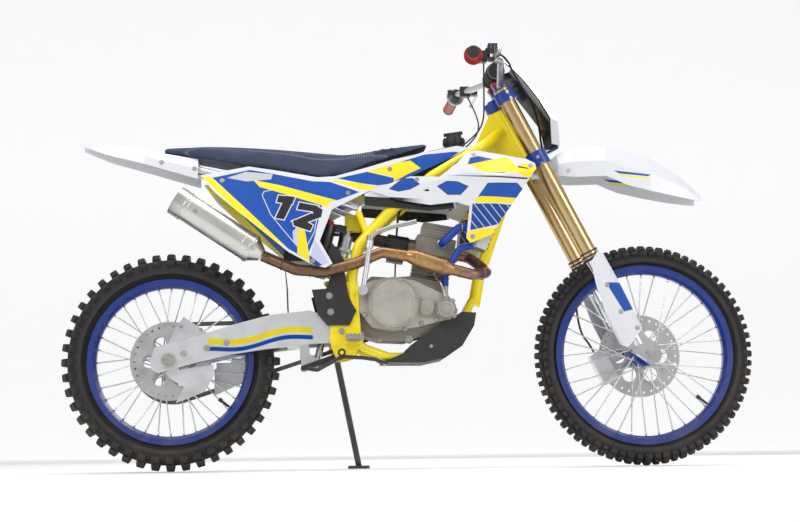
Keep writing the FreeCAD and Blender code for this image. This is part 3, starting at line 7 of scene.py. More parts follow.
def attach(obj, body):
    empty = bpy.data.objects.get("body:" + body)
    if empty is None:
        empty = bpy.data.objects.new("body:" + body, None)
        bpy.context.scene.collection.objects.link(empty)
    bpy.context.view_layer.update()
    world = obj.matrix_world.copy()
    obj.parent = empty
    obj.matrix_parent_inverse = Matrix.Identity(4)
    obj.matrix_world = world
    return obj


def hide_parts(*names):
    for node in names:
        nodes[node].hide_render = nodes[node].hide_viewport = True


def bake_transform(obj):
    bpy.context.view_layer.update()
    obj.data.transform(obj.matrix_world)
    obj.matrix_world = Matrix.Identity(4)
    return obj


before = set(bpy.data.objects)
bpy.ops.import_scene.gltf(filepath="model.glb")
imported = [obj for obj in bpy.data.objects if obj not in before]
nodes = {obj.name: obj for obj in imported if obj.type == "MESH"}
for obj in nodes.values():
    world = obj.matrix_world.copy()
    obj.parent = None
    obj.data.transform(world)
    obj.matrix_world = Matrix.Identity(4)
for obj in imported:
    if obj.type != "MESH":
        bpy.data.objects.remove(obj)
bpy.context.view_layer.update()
bpy.ops.object.select_all(action="DESELECT")
print("frame loaded")


# Camera, floor and light

studio = {
    "lens": 70.8, "place": (-0.335, -4.881, 0.06), "yaw": 0.0633, "pitch": 0.1193, "roll": -0.0131,
    "floor": 36, "wall": 14, "sweep": 4, "glow": 0.40, "sky": 0.58,
    "lights": {"keyLight": ((-3.2, -4.2, 3.6), (2.6, 2.0), 105), "fillLight": ((3.6, -3.6, 2.2), (2.4, 2.4), 60),
               "topLight": ((0, -0.4, 4.2), (3.4, 2.2), 90), "backLight": ((1.5, 4.0, 2.8), (3.0, 1.6), 80)},
}


def aimCamera():
    bpy.ops.object.camera_add(location=studio["place"])
    camera = bpy.context.object
    camera.name = "photoCamera"
    camera.data.lens = studio["lens"]
    camera.data.sensor_width = 36
    camera.data.clip_end = 100
    turn = Matrix.Rotation(-studio["yaw"], 4, "Z") @ Matrix.Rotation(math.pi / 2 + studio["pitch"], 4, "X")
    camera.matrix_world = Matrix.Translation(studio["place"]) @ turn @ Matrix.Rotation(studio["roll"], 4, "Z")
    bpy.context.scene.camera = camera


def softLight(name, place, size, power):
    bpy.ops.object.light_add(type="AREA", location=place)
    lamp = bpy.context.object
    lamp.name = name
    lamp.data.shape = "RECTANGLE"
    lamp.data.size, lamp.data.size_y = size
    lamp.data.energy = power
    towards = Vector((0, 0, 0.6)) - Vector(place)
    lamp.rotation_euler = towards.to_track_quat("-Z", "Y").to_euler()


def layFloor():
    bpy.ops.mesh.primitive_plane_add(size=studio["floor"], location=(0, 0, 0))
    floor = bpy.context.object
    floor.name = "studioFloor"
    bpy.ops.object.mode_set(mode="EDIT")
    bpy.ops.mesh.select_mode(type="EDGE")
    bpy.ops.mesh.select_all(action="DESELECT")
    bpy.ops.object.mode_set(mode="OBJECT")
    for edge in floor.data.edges:
        edge.select = all(floor.data.vertices[i].co.y > studio["floor"] / 2 - 1 for i in edge.vertices)
    bpy.ops.object.mode_set(mode="EDIT")
    bpy.ops.mesh.extrude_region_move(TRANSFORM_OT_translate={"value": (0, 0, studio["wall"])})
    bpy.ops.mesh.select_all(action="SELECT")
    bpy.ops.object.mode_set(mode="OBJECT")
    bend = floor.modifiers.new("sweep", "BEVEL")
    bend.width = studio["sweep"]
    bend.segments = 16
    bpy.ops.object.modifier_apply(modifier="sweep")
    bpy.ops.object.shade_smooth()
    paint = Finish("pale floor", Roughness=0.75)
    paint.done(paint.mix(paint.noise(3, 3), (0.80, 0.80, 0.80, 1), (0.84, 0.84, 0.835, 1)))
    glow = paint.mix(paint.y.above(8, 6), rgb(0.12, 0.12, 0.12), rgb(1, 1, 1))
    paint.tree.links.new(glow.out, paint.shader.inputs["Emission Color"])
    paint.shader.inputs["Emission Strength"].default_value = studio["glow"]
    floor.data.materials.append(paint.material)


# Shader arithmetic

class Value:
    # one node output, used in plain arithmetic
    def __init__(self, paint, out):
        self.paint = paint
        self.out = out

    def maths(self, operation, *terms):
        return self.paint.node("ShaderNodeMath", {"operation": operation}, dict(enumerate(terms)))

    def __add__(self, other):
        return self.maths("ADD", self, other)

    __radd__ = __add__

    def __mul__(self, other):
        return self.maths("MULTIPLY", self, other)

    __rmul__ = __mul__

    def __sub__(self, other):
        return self.maths("SUBTRACT", self, other)

    def __rsub__(self, other):
        return self.maths("SUBTRACT", other, self)

    def __neg__(self):
        return self * -1

    def __abs__(self):
        return self.maths("ABSOLUTE", self)

    def above(self, level, soft=0.0004):
        # a mask: 1 where this value is above the level
        sockets = {0: self, 1: level - soft, 2: level + soft, 3: 0.0, 4: 1.0}
        return self.paint.node("ShaderNodeMapRange", {"clamp": True}, sockets)

    def sine(self):
        return self.maths("SINE", self)

    def least(self, other):
        return self.maths("MINIMUM", self, other)

    def most(self, other):
        return self.maths("MAXIMUM", self, other)


class Finish:
    # one material: a Principled shader and the nodes that feed it
    def __init__(self, name, **fixed):
        self.material = bpy.data.materials.new(name)
        self.material.use_nodes = True
        self.tree = self.material.node_tree
        self.shader = self.tree.nodes["Principled BSDF"]
        for socket, level in fixed.items():
            self.shader.inputs[socket.replace("_", " ")].default_value = level
        self.where = self.node("ShaderNodeTexCoord", {}, {}, "Object")
        split = self.node("ShaderNodeSeparateXYZ", {}, {0: self.where})
        self.x, self.y, self.z = (Value(self, split.out.node.outputs[i]) for i in range(3))

    def node(self, kind, settings, sockets, out=0):
        made = self.tree.nodes.new(kind)
        for key, level in settings.items():
            if key == "stops":
                ramp = made.color_ramp
                while len(ramp.elements) < len(level):
                    ramp.elements.new(0.5)
                for element, (at, colour) in zip(ramp.elements, level):
                    element.position = at
                    element.color = colour
            else:
                setattr(made, key, level)
        for key, level in sockets.items():
            if isinstance(level, Value):
                self.tree.links.new(level.out, made.inputs[key])
            else:
                made.inputs[key].default_value = level
        return Value(self, made.outputs[out])

    def mapped(self, scale, turn=(0, 0, 0)):
        return self.node("ShaderNodeMapping", {}, {"Vector": self.where, "Scale": scale, "Rotation": turn})

    def noise(self, scale, detail=4, stretch=None, rough=0.55, turn=(0, 0, 0)):
        where = self.mapped(stretch, turn) if stretch else self.where
        sockets = {"Vector": where, "Scale": scale, "Detail": detail, "Roughness": rough}
        return self.node("ShaderNodeTexNoise", {}, sockets)

    def cells(self, scale, feature="F1"):
        return self.node("ShaderNodeTexVoronoi", {"feature": feature}, {"Vector": self.where, "Scale": scale})

    def mix(self, factor, first, second):
        return self.node("ShaderNodeMix", {"data_type": "RGBA"}, {0: factor, 6: first, 7: second}, 2)

    def ramp(self, value, *stops):
        return self.node("ShaderNodeValToRGB", {"stops": stops}, {0: value})

    def between(self, value, low, high):
        return self.node("ShaderNodeMapRange", {"clamp": True}, {0: value, 1: 0.3, 2: 0.7, 3: low, 4: high})

    def shape(self, points, soft=0.0004, grow=0.0):
        # a mask of a convex outline in side view, corners and growth in millimetres
        centre = [sum(p[i] for p in points) / len(points) for i in (0, 1)]
        inside = None
        for (ax, az), (bx, bz) in zip(points, points[1:] + points[:1]):
            nx, nz = bz - az, ax - bx
            length = math.hypot(nx, nz)
            if nx * (centre[0] - ax) + nz * (centre[1] - az) < 0:
                nx, nz = -nx, -nz
            reach = (self.x * (nx / length)) + (self.z * (nz / length)) - (nx * ax + nz * az) / length / 1000
            inside = reach if inside is None else inside.least(reach)
        return inside.above(-grow / 1000, soft)

    def bump(self, height, distance=0.001, strength=0.5):
        normal = self.node("ShaderNodeBump", {}, {"Strength": strength, "Distance": distance, "Height": height})
        self.tree.links.new(normal.out, self.shader.inputs["Normal"])

    def done(self, colour, roughness=None, metallic=None, coat=None):
        feeds = {"Base Color": colour, "Roughness": roughness, "Metallic": metallic, "Coat Weight": coat}
        for socket, level in feeds.items():
            if isinstance(level, Value):
                self.tree.links.new(level.out, self.shader.inputs[socket])
            elif level is not None:
                self.shader.inputs[socket].default_value = level
        return self.material


def rgb(red, green, blue):
    return (red, green, blue, 1)


def shade(colour, amount):
    return tuple(min(1, c * amount) for c in colour[:3]) + (1,)


aimCamera()
layFloor()
for name, (place, size, power) in studio["lights"].items():
    softLight(name, place, size, power)
world = bpy.data.worlds.new("studio")
world.use_nodes = True
world.node_tree.nodes["Background"].inputs[0].default_value = rgb(0.93, 0.94, 0.95)
world.node_tree.nodes["Background"].inputs[1].default_value = studio["sky"]
bpy.context.scene.world = world
bpy.context.scene.view_settings.view_transform = "Standard"
print("camera, floor and light ready")


# Plain finishes

def dusted(paint, colour, grime=rgb(0.20, 0.15, 0.10), amount=0.25):
    # a little dust that gathers low down
    low = paint.node("ShaderNodeMapRange", {"clamp": True}, {0: paint.z, 1: 0.55, 2: 0.05, 3: 0.0, 4: 1.0})
    patches = paint.noise(14, 6).above(0.52, 0.14)
    return paint.mix(low * patches * amount, colour, grime)


def plainPlastic(name, colour, rough=0.42, grain=1400):
    paint = Finish(name, Coat_Weight=0.0)
    tone = paint.mix(paint.noise(9, 3), shade(colour, 0.9), shade(colour, 1.12))
    paint.bump(paint.noise(grain, 2), 0.0002, 0.35)
    return paint.done(dusted(paint, tone), paint.between(paint.noise(30, 5), rough - 0.07, rough + 0.1))


def rubberFinish(name, colour, rough=0.62, dust=0.3):
    paint = Finish(name)
    tone = paint.mix(paint.noise(22, 5), shade(colour, 0.8), shade(colour, 1.35))
    paint.bump(paint.noise(700, 3), 0.0003, 0.4)
    return paint.done(dusted(paint, tone, amount=dust), paint.between(paint.noise(18, 4), rough - 0.08, rough + 0.12))


def paintedMetal(name, colour, rough=0.28):
    paint = Finish(name, Coat_Weight=0.35, Coat_Roughness=0.12)
    tone = paint.mix(paint.noise(5, 3), shade(colour, 0.93), shade(colour, 1.05))
    paint.bump(paint.noise(320, 2), 0.0002, 0.18)
    return paint.done(dusted(paint, tone), paint.between(paint.noise(26, 5), rough - 0.06, rough + 0.1))


def bareMetal(name, colour, rough=0.34, stretch=(1, 1, 1), grain=400, turn=(0, 0, 0)):
    paint = Finish(name, Metallic=1.0)
    lines = paint.noise(grain, 3, stretch, turn=turn)
    blotch = paint.noise(12, 5)
    tone = paint.mix(lines * 0.5 + blotch * 0.5, shade(colour, 0.82), shade(colour, 1.12))
    paint.bump(lines, 0.0002, 0.22)
    return paint.done(dusted(paint, tone, amount=0.2), paint.between(blotch, rough - 0.08, rough + 0.12))


def castMetal(name, colour, rough=0.5, metal=0.7):
    # sand-cast alloy with a few oily patches
    paint = Finish(name, Metallic=metal)
    grit = paint.noise(520, 4)
    blotch = paint.noise(16, 6)
    tone = paint.mix(blotch, shade(colour, 0.8), shade(colour, 1.1))
    stain = paint.noise(7, 5).above(0.6, 0.1)
    tone = paint.mix(stain * 0.4, tone, rgb(0.12, 0.09, 0.06))
    paint.bump(grit, 0.0005, 0.35)
    return paint.done(tone, paint.between(blotch, rough - 0.08, rough + 0.12))


def brushedRound(name, colour, centre, rough=0.3):
    # turned metal: fine rings round an axis along Y
    paint = Finish(name, Metallic=1.0)
    dx = paint.x - centre[0]
    dz = paint.z - centre[1]
    radius = paint.x.maths("SQRT", dx * dx + dz * dz)
    rings = (radius * 9000).sine() * 0.5 + 0.5
    blotch = paint.noise(20, 5)
    tone = paint.mix(rings * 0.35 + blotch * 0.65, shade(colour, 0.78), shade(colour, 1.1))
    paint.bump(rings, 0.0001, 0.2)
    return paint.done(tone, paint.between(blotch, rough - 0.06, rough + 0.12))


navy = rgb(0.020, 0.029, 0.064)
black = rgb(0.012, 0.012, 0.013)
blueField = rgb(0.0, 0.065, 0.37)
blueDeep = rgb(0.0, 0.045, 0.27)
yellowField = rgb(0.88, 0.72, 0.015)
whiteField = rgb(0.69, 0.70, 0.73)
violetField = rgb(0.50, 0.52, 0.72)

finishes = {
    "blackPlastic": plainPlastic("black moulded plastic", rgb(0.018, 0.018, 0.02), 0.45),
    "blackRubber": rubberFinish("black rubber", rgb(0.02, 0.02, 0.02)),
    "tyreRubber": rubberFinish("tyre rubber", rgb(0.020, 0.018, 0.017), 0.72, 0.12),
    "yellowPaint": paintedMetal("yellow frame paint", rgb(0.95, 0.76, 0.0)),
    "blueAnodised": paintedMetal("blue anodising", rgb(0.003, 0.038, 0.27), 0.24),
    "blackPaint": paintedMetal("black enamel", rgb(0.015, 0.015, 0.016), 0.3),
    "spokeSteel": bareMetal("spoke steel", rgb(0.66, 0.66, 0.67), 0.22, (1, 1, 1), 300),
    "alloy": bareMetal("bare alloy", rgb(0.72, 0.73, 0.75), 0.34, (1, 8, 8), 240),
    "chrome": bareMetal("polished chrome", rgb(0.72, 0.73, 0.75), 0.12, (1, 1, 1), 60),
    "steel": bareMetal("plated steel", rgb(0.42, 0.41, 0.40), 0.36, (1, 1, 1), 500),
    "darkSteel": bareMetal("oiled steel", rgb(0.16, 0.15, 0.14), 0.42, (1, 1, 1), 500),
    "castAlloy": castMetal("cast engine alloy", rgb(0.31, 0.285, 0.25)),
    "lightCast": castMetal("light cast cover", rgb(0.50, 0.47, 0.415), 0.40, 0.5),
    "goldAnodised": bareMetal("gold anodised tube", rgb(0.60, 0.43, 0.22), 0.24, (14, 14, 1), 160, (0, 0.471, 0)),
    "bolt": bareMetal("zinc bolt", rgb(0.55, 0.54, 0.50), 0.28, (1, 1, 1), 900),
    "redRubber": rubberFinish("red grip rubber", rgb(0.42, 0.02, 0.015), 0.5),
    "redAnodised": paintedMetal("red anodising", rgb(0.38, 0.012, 0.012), 0.26),
    "lineRubber": rubberFinish("cable sheath", rgb(0.014, 0.014, 0.015), 0.5),
}


def headerFinish():
    # heat colours that run along the pipe from the port
    paint = Finish("heat tinted pipe", Metallic=1.0)
    band = paint.noise(9, 5) * 0.16 + (paint.x * 2.1 + 0.45)
    tone = paint.ramp(band, (0.0, rgb(0.20, 0.12, 0.075)), (0.35, rgb(0.36, 0.20, 0.10)),
                      (0.62, rgb(0.50, 0.30, 0.13)), (0.8, rgb(0.40, 0.22, 0.12)), (1.0, rgb(0.26, 0.15, 0.16)))
    speck = paint.noise(90, 6).above(0.62, 0.08)
    paint.bump(paint.noise(260, 4), 0.0003, 0.3)
    return paint.done(paint.mix(speck * 0.5, tone, rgb(0.08, 0.05, 0.035)), paint.between(paint.noise(40, 5), 0.3, 0.5))


def canFinish():
    # brushed along the can, with a darker welded end
    paint = Finish("brushed can", Metallic=1.0)
    lines = paint.noise(60, 4, (1, 26, 26), turn=(0, 0.58, 0))
    tone = paint.mix(lines, rgb(0.52, 0.51, 0.47), rgb(0.80, 0.79, 0.75))
    soot = paint.x.above(-0.72, 0.03)
    tone = paint.mix(soot, rgb(0.25, 0.22, 0.19), tone)
    paint.bump(lines, 0.0002, 0.3)
    return paint.done(tone, paint.between(paint.noise(20, 4), 0.24, 0.38))


def seatFinish():
    # grippy vinyl: fine pebbles, and a row of stitches along each side
    paint = Finish("grippy seat vinyl")
    pebbles = paint.cells(620)
    tone = paint.mix(paint.noise(12, 4), shade(navy, 0.8), shade(navy, 1.5))
    side = abs(paint.y)
    seam = 1 - abs(side - 0.058).above(0.0016, 0.0006)
    thread = (paint.x * 900).sine().above(0.0, 0.3) * (1 - abs(side - 0.0625).above(0.0011, 0.0004))
    tone = paint.mix(thread * 0.8, tone, rgb(0.20, 0.22, 0.30))
    paint.bump(pebbles * 0.6 - seam * 1.6 + thread * 0.8, 0.0012, 0.55)
    return paint.done(tone, paint.between(paint.noise(25, 4), 0.55, 0.75))


# Panel graphics, and one painted highlight on the side panel: every field is a plain shape in side view

def layered(paint, base, fields, soft=0.0005):
    # each field is a colour, its outlines, and how far the outlines grow
    tone = base
    for colour, outlines, *grow in fields:
        for outline in outlines:
            tone = paint.mix(paint.shape(outline, soft, *grow), tone, colour)
    return tone


def glossSkin(paint, tone):
    scuff = paint.noise(55, 6, (1, 1, 5)).above(0.68, 0.04) * 0.1
    tone = paint.mix(scuff, tone, rgb(0.6, 0.6, 0.6))
    paint.bump(paint.noise(45, 2), 0.0004, 0.12)
    return paint.done(dusted(paint, tone, amount=0.12), paint.between(paint.noise(12, 4), 0.16, 0.3))


panelFields = {
    "lowYellow": [(-638, 899), (-611, 897), (-490, 783), (-378, 668), (-427, 699), (-535, 792)],
    "blueMain": [(-606, 894), (-490, 918), (-283, 878), (-247, 811), (-295, 694), (-310, 628), (-378, 668), (-490, 780)],
    # a pale grey patch over the blue: a painted highlight where light glares on the top of the side panel
    "paintedGlare": [(-560, 893), (-502, 912), (-420, 903), (-425, 886), (-500, 880)],
    "blueTop": [(-411, 882), (-277, 880), (-244, 878), (-155, 845), (-224, 818), (-399, 865)],
    "bandYellow": [(-478, 884), (-399, 867), (-224, 818), (-252, 797), (-460, 862)],
    "bandHigh": [(-253, 885), (-222, 890), (-149, 873), (-97, 866), (-109, 853), (-155, 853)],
    "blueSeat": [(-222, 890), (-130, 911), (-32, 886), (-63, 871), (-97, 866), (-149, 873)],
    "yellowSeat": [(-133, 912), (-32, 942), (5, 947), (36, 922), (-32, 890)],
    "tankBlue": [(-49, 936), (48, 967), (140, 977), (157, 975), (118, 949), (-6, 891), (-49, 879)],
    "tankYellow": [(-49, 932), (-5, 925), (12, 914), (-23, 892), (-49, 879)],
    "number": [(-452, 835), (-446, 847), (-414, 853), (-253, 797), (-278, 749), (-298, 694), (-301, 677), (-351, 679),
               (-382, 717), (-426, 773)],
    "wedge": [(-345, 738), (-325, 738), (-306, 623), (-346, 651)],
    "violet": [(-323, 743), (-278, 749), (-293, 694), (-251, 622), (-270, 614), (-308, 645)],
    "violetLow": [(-360, 719), (-345, 737), (-345, 669), (-358, 688)],
    "blueLow": [(-310, 646), (-271, 615), (-285, 611), (-309, 623)],
    "lowWhite": [(-253, 801), (-247, 811), (-100, 853), (-38, 886), (-26, 881), (-88, 849), (-235, 798)],
}
digitOne = [[(-380, 833), (-352, 829), (-386, 757), (-412, 762)], [(-402, 834), (-352, 829), (-360, 806), (-408, 812)]]
digitTwo = [[(-339, 812), (-284, 801), (-274, 779), (-346, 790)],
            [(-289, 802), (-268, 789), (-273, 765), (-296, 759), (-298, 782)],
            [(-302, 778), (-276, 764), (-333, 742), (-360, 752)],
            [(-359, 754), (-332, 761), (-298, 739), (-307, 721), (-356, 738)]]


def panelFinish():
    paint = Finish("side panel graphics and painted glare", Coat_Weight=0.5, Coat_Roughness=0.08)
    area = panelFields
    fields = [
        # the pale grey patch over the blue main field is a painted highlight of glare, not print
        (yellowField, [area["lowYellow"]]), (blueField, [area["blueMain"]]), (shade(whiteField, 0.75), [area["paintedGlare"]]),
        (blueField, [area["blueTop"], area["blueSeat"], area["tankBlue"]]),
        (yellowField, [area["bandYellow"], area["bandHigh"], area["yellowSeat"], area["tankYellow"]]),
        (whiteField, [area["number"]], 1.2), (blueField, [area["number"]], -1.2), (yellowField, [area["bandYellow"]]),
        (shade(yellowField, 0.9), [area["wedge"]]), (violetField, [area["violet"], area["violetLow"]]),
        (blueDeep, [area["blueLow"]]), (whiteField, [area["lowWhite"]]),
    ]
    tone = layered(paint, whiteField, fields)
    leftSide = paint.y.above(0, 0.001)
    for colour, grow in ((whiteField, 3.0), (black, 0)):
        for outline in digitOne + digitTwo:
            turned = [(-682 - x, z + 0.348 * (2 * x + 682)) for x, z in outline]
            tone = paint.mix(paint.shape(outline, 0.0005, grow) * (1 - leftSide), tone, colour)
            tone = paint.mix(paint.shape(turned, 0.0005, grow) * leftSide, tone, colour)
    return glossSkin(paint, tone)


shroudFields = {
    "upperBlue": [(185, 947), (210, 952), (291, 931), (314, 905), (283, 892), (231, 896), (176, 925)],
    "upperYellow": [(101, 891), (148, 918), (178, 924), (224, 897), (345, 892), (358, 878), (230, 885)],
    "blackLine": [(101, 891), (230, 885), (360, 877), (351, 872), (230, 881)],
    "tipYellow": [(323, 908), (337, 923), (367, 922), (383, 909), (362, 876), (331, 887)],
    "tipSlash": [(328, 916), (358, 908), (360, 904), (328, 910)],
    "blueLeft": [(-63, 852), (-23, 883), (7, 883), (27, 865), (-2, 850), (-37, 844)],
    "blueMid": [(83, 857), (123, 878), (142, 869), (186, 866), (151, 830), (113, 831)],
    "blueRight": [(207, 823), (234, 861), (322, 860), (337, 843), (325, 817), (282, 816)],
    "yellowRight": [(192, 812), (212, 823), (321, 815), (315, 798), (255, 801), (194, 803)],
    "lowBlue": [(187, 801), (255, 799), (307, 794), (269, 737), (179, 719)],
    "lowYellow": [(174, 715), (210, 724), (264, 725), (253, 699), (174, 682), (168, 693)],
    "inlay": [(-6, 890), (117, 946), (159, 946), (143, 929), (77, 889)],
    "belly": [(-170, 834), (132, 812), (140, 777), (106, 764), (27, 760), (-60, 780), (-170, 800)],
    "slashes": [(26, 841), (53, 850), (64, 837), (48, 842)],
}


def shroudFinish():
    paint = Finish("shroud graphics", Coat_Weight=0.5, Coat_Roughness=0.08)
    area = shroudFields
    fields = [
        (black, [area["inlay"]]), (blueField, [area["upperBlue"]]), (yellowField, [area["upperYellow"], area["tipYellow"]]),
        (black, [area["blackLine"], area["tipSlash"]]),
        (black, [area["blueLeft"], area["blueMid"], area["blueRight"]], 1.6),
        (blueField, [area["blueLeft"], area["blueMid"], area["blueRight"]]), (yellowField, [area["yellowRight"]]),
        (blueDeep, [area["lowBlue"]]), (yellowField, [area["lowYellow"]]), (black, [area["slashes"]]),
    ]
    tone = layered(paint, whiteField, fields)
    stripe = ((paint.x * 0.8 + paint.z * 0.6) * 330).sine().above(0.9, 0.05)
    tone = paint.mix(stripe * paint.shape(area["lowBlue"]) * 0.7, tone, whiteField)
    inner = 1 - abs(paint.y).above(0.148, 0.003)
    tone = paint.mix(inner * paint.shape(area["belly"]), tone, black)
    return glossSkin(paint, tone)


def fenderFinish(name, fields):
    paint = Finish(name, Coat_Weight=0.4, Coat_Roughness=0.1)
    return glossSkin(paint, layered(paint, whiteField, fields))


def plateFinish():
    paint = Finish("number plate white", Coat_Weight=0.4, Coat_Roughness=0.1)
    facing = paint.node("ShaderNodeSeparateXYZ", {}, {0: paint.node("ShaderNodeNewGeometry", {}, {}, "Normal")})
    tone = paint.mix(facing.above(-0.05, 0.02), black, whiteField)
    return glossSkin(paint, tone)


def armFinish():
    # bare arm with blue and yellow wave stripes
    paint = Finish("swingarm graphics", Metallic=0.75)
    lines = paint.noise(120, 3, (1, 26, 26))
    tone = paint.mix(lines, rgb(0.55, 0.56, 0.58), rgb(0.80, 0.81, 0.83))
    wave = paint.z - ((paint.x + 0.45) * 24).sine() * 0.008 - paint.x * 0.13 - 0.448
    along = paint.x.above(-0.62, 0.002) * (1 - paint.x.above(-0.30, 0.002))
    blueBand = (1 - abs(wave + 0.004).above(0.0065, 0.0005)) * along
    yellowBand = (1 - abs(wave - 0.018).above(0.0090, 0.0005)) * along
    tone = paint.mix(blueBand, tone, blueField)
    tone = paint.mix(yellowBand, tone, yellowField)
    paint.bump(lines, 0.0002, 0.2)
    return paint.done(dusted(paint, tone), paint.between(paint.noise(20, 4), 0.28, 0.45))


def coreFinish():
    # radiator: fine fins between side tanks
    paint = Finish("radiator core", Metallic=0.8)
    fins = (paint.z * 2600).sine() * 0.5 + 0.5
    tone = paint.mix(fins, rgb(0.10, 0.10, 0.10), rgb(0.60, 0.60, 0.60))
    tank = abs(paint.y).above(0.141, 0.0005).most(1 - abs(paint.y).above(0.083, 0.0005))
    tone = paint.mix(tank, tone, rgb(0.66, 0.66, 0.64))
    hose = 1 - ((paint.x - 0.254) * 0.9135 - (paint.z - 0.762) * 0.4067).above(-0.0178, 0.0003)
    tone = paint.mix(hose, tone, rgb(0.0, 0.05, 0.40))
    paint.bump(fins * (1 - tank) * (1 - hose), 0.0012, 0.6)
    return paint.done(tone, paint.between(paint.noise(14, 4), 0.36, 0.5), (1 - hose) * 0.8)


def skidFinish():
    # stone-scratched plastic with a pale worn lip along its lower edge
    paint = Finish("scratched skid plate")
    scratches = paint.noise(160, 5, (1, 6, 9)).above(0.60, 0.05)
    tone = paint.mix(scratches * 0.5, rgb(0.016, 0.016, 0.017), rgb(0.10, 0.10, 0.10))
    lip = 1 - (paint.z - (paint.x * paint.x * 2.4) - 0.300).above(0.006, 0.002)
    tone = paint.mix(lip * 0.55, tone, rgb(0.32, 0.32, 0.31))
    paint.bump(scratches, 0.0004, 0.4)
    return paint.done(tone, paint.between(paint.noise(40, 4), 0.45, 0.65))


def fabricFinish():
    # coarse weave of the bar pad's cover
    paint = Finish("bar pad fabric")
    weave = (paint.y * 2600).sine() * ((paint.x + paint.z) * 2600).sine()
    tone = paint.mix(weave * 0.5 + 0.5, rgb(0.010, 0.010, 0.012), rgb(0.035, 0.035, 0.040))
    paint.bump(weave, 0.0006, 0.6)
    return paint.done(tone, paint.between(paint.noise(30, 4), 0.7, 0.9))


def guardFinish():
    paint = Finish("fork guard white", Coat_Weight=0.4, Coat_Roughness=0.1)
    return glossSkin(paint, layered(paint, whiteField, [(blueField, [[(596, 560), (640, 560), (690, 480), (650, 470)]])]))


def gripPaint(name, colour):
    # moulded ribs along the grip
    paint = Finish(name)
    ribs = (abs(paint.y) * 1400).sine() * 0.5 + 0.5
    tone = paint.mix(ribs, shade(colour, 0.6), shade(colour, 1.2))
    paint.bump(ribs, 0.0012, 0.8)
    return paint.done(tone, 0.68)


finishes.update({
    "header": headerFinish(), "can": canFinish(), "seatVinyl": seatFinish(), "panel": panelFinish(),
    "shroud": shroudFinish(),
    "plate": plateFinish(), "arm": armFinish(), "core": coreFinish(), "forkGuard": guardFinish(),
    "padFabric": fabricFinish(), "skid": skidFinish(),
    "grip": gripPaint("ribbed grip rubber", rgb(0.34, 0.018, 0.014)),
    "frontFender": fenderFinish("front fender white", [(blueField, [[(640, 918), (760, 906), (752, 900), (660, 908)]]),
                                                       (yellowField, [[(650, 906), (752, 898), (744, 892), (664, 900)]])]),
    "rearFender": fenderFinish("rear fender white", []),
    "discFront": brushedRound("front disc steel", rgb(0.55, 0.55, 0.55), (0.735, 0.345)),
    "discRear": brushedRound("rear disc steel", rgb(0.55, 0.55, 0.55), (-0.735, 0.336)),
    "rimFront": paintedMetal("blue front rim", rgb(0.002, 0.026, 0.21), 0.26),
    "rimRear": paintedMetal("blue rear rim", rgb(0.002, 0.026, 0.21), 0.26),
})

worn = {
    "front_tyre": "tyreRubber", "rear_tyre": "tyreRubber", "front_rim": "rimFront", "rear_rim": "rimRear",
    "front_spokes": "spokeSteel", "rear_spokes": "spokeSteel", "front_hub": "blueAnodised", "rear_hub": "blueAnodised",
    "front_disc": "discFront", "rear_disc": "discRear", "rear_sprocket": "alloy", "front_sprocket": "darkSteel",
    "chain": "darkSteel", "swingarm": "arm", "rear_caliper": "alloy", "fork_tubes": "goldAnodised", "fork_legs": "chrome",
    "fork_guards": "forkGuard", "triple_clamps": "blueAnodised", "main_frame": "yellowPaint", "subframe": "alloy",
    "crankcase": "castAlloy", "engine_covers": "lightCast", "cylinder_head": "castAlloy", "intake": "blackPlastic",
    "exhaust_header": "header", "silencer": "can", "radiators": "core", "fuel_tank": "blackPlastic",
    "fuel_cap": "blackPlastic",
    "seat": "seatVinyl", "side_panels": "panel", "shrouds": "shroud", "rear_fender": "rearFender",
    "mud_flap": "blackRubber",
    "front_fender": "frontFender", "number_plate": "plate", "skid_plate": "skid", "frame_guards": "blackPlastic",
    "shock_body": "alloy", "shock_rod": "chrome", "shock_spring": "yellowPaint", "rocker": "alloy",
    "pull_link": "blackPaint",
    "handlebar": "alloy", "throttle_grip": "grip", "bar_controls": "blackPaint", "brake_lever": "alloy",
    "clutch_lever": "alloy",
    "stop_button": "redRubber", "kick_arm": "alloy", "kick_pedal": "steel", "brake_pedal": "blackPaint",
    "shift_lever": "alloy",
    "right_footpeg": "steel", "left_footpeg": "steel", "side_stand": "blackPaint", "front_caliper": "alloy",
    "brake_hose": "blackRubber", "control_cables": "blackRubber",
}


def wear(item, finish):
    item.data.materials.clear()
    item.data.materials.append(finishes[finish])


for name, finish in worn.items():
    wear(nodes[name], finish)
print("finishes on", len(worn), "frame pieces")

# Modelling helpers

def alone(item):
    bpy.ops.object.select_all(action="DESELECT")
    item.select_set(True)
    bpy.context.view_layer.objects.active = item


def picked(item, test):
    # leaves edit mode open with the faces chosen by centre and normal
    alone(item)
    bpy.ops.object.mode_set(mode="EDIT")
    bpy.ops.mesh.select_mode(type="FACE")
    bpy.ops.mesh.select_all(action="DESELECT")
    bpy.ops.object.mode_set(mode="OBJECT")
    for face in item.data.polygons:
        face.select = bool(test(face.center, face.normal))
    bpy.ops.object.mode_set(mode="EDIT")


def welded(item, gap):
    # merges double points and turns every face outwards
    alone(item)
    bpy.ops.object.mode_set(mode="EDIT")
    bpy.ops.mesh.select_all(action="SELECT")
    bpy.ops.mesh.remove_doubles(threshold=gap)
    bpy.ops.mesh.normals_make_consistent(inside=False)
    bpy.ops.object.mode_set(mode="OBJECT")


def applied(item):
    alone(item)
    bpy.ops.object.transform_apply(location=True, rotation=True, scale=True)
    return item


def joined(items):
    bpy.ops.object.select_all(action="DESELECT")
    for item in items:
        item.select_set(True)
    bpy.context.view_layer.objects.active = items[0]
    if len(items) > 1:
        bpy.ops.object.join()
    return applied(bpy.context.object)


def repeated(master, places):
    applied(master)
    made = []
    for place in places:
        copy = bpy.data.objects.new("copy", master.data.copy())
        bpy.context.collection.objects.link(copy)
        copy.matrix_world = place
        made.append(copy)
    bpy.data.objects.remove(master)
    return joined(made)


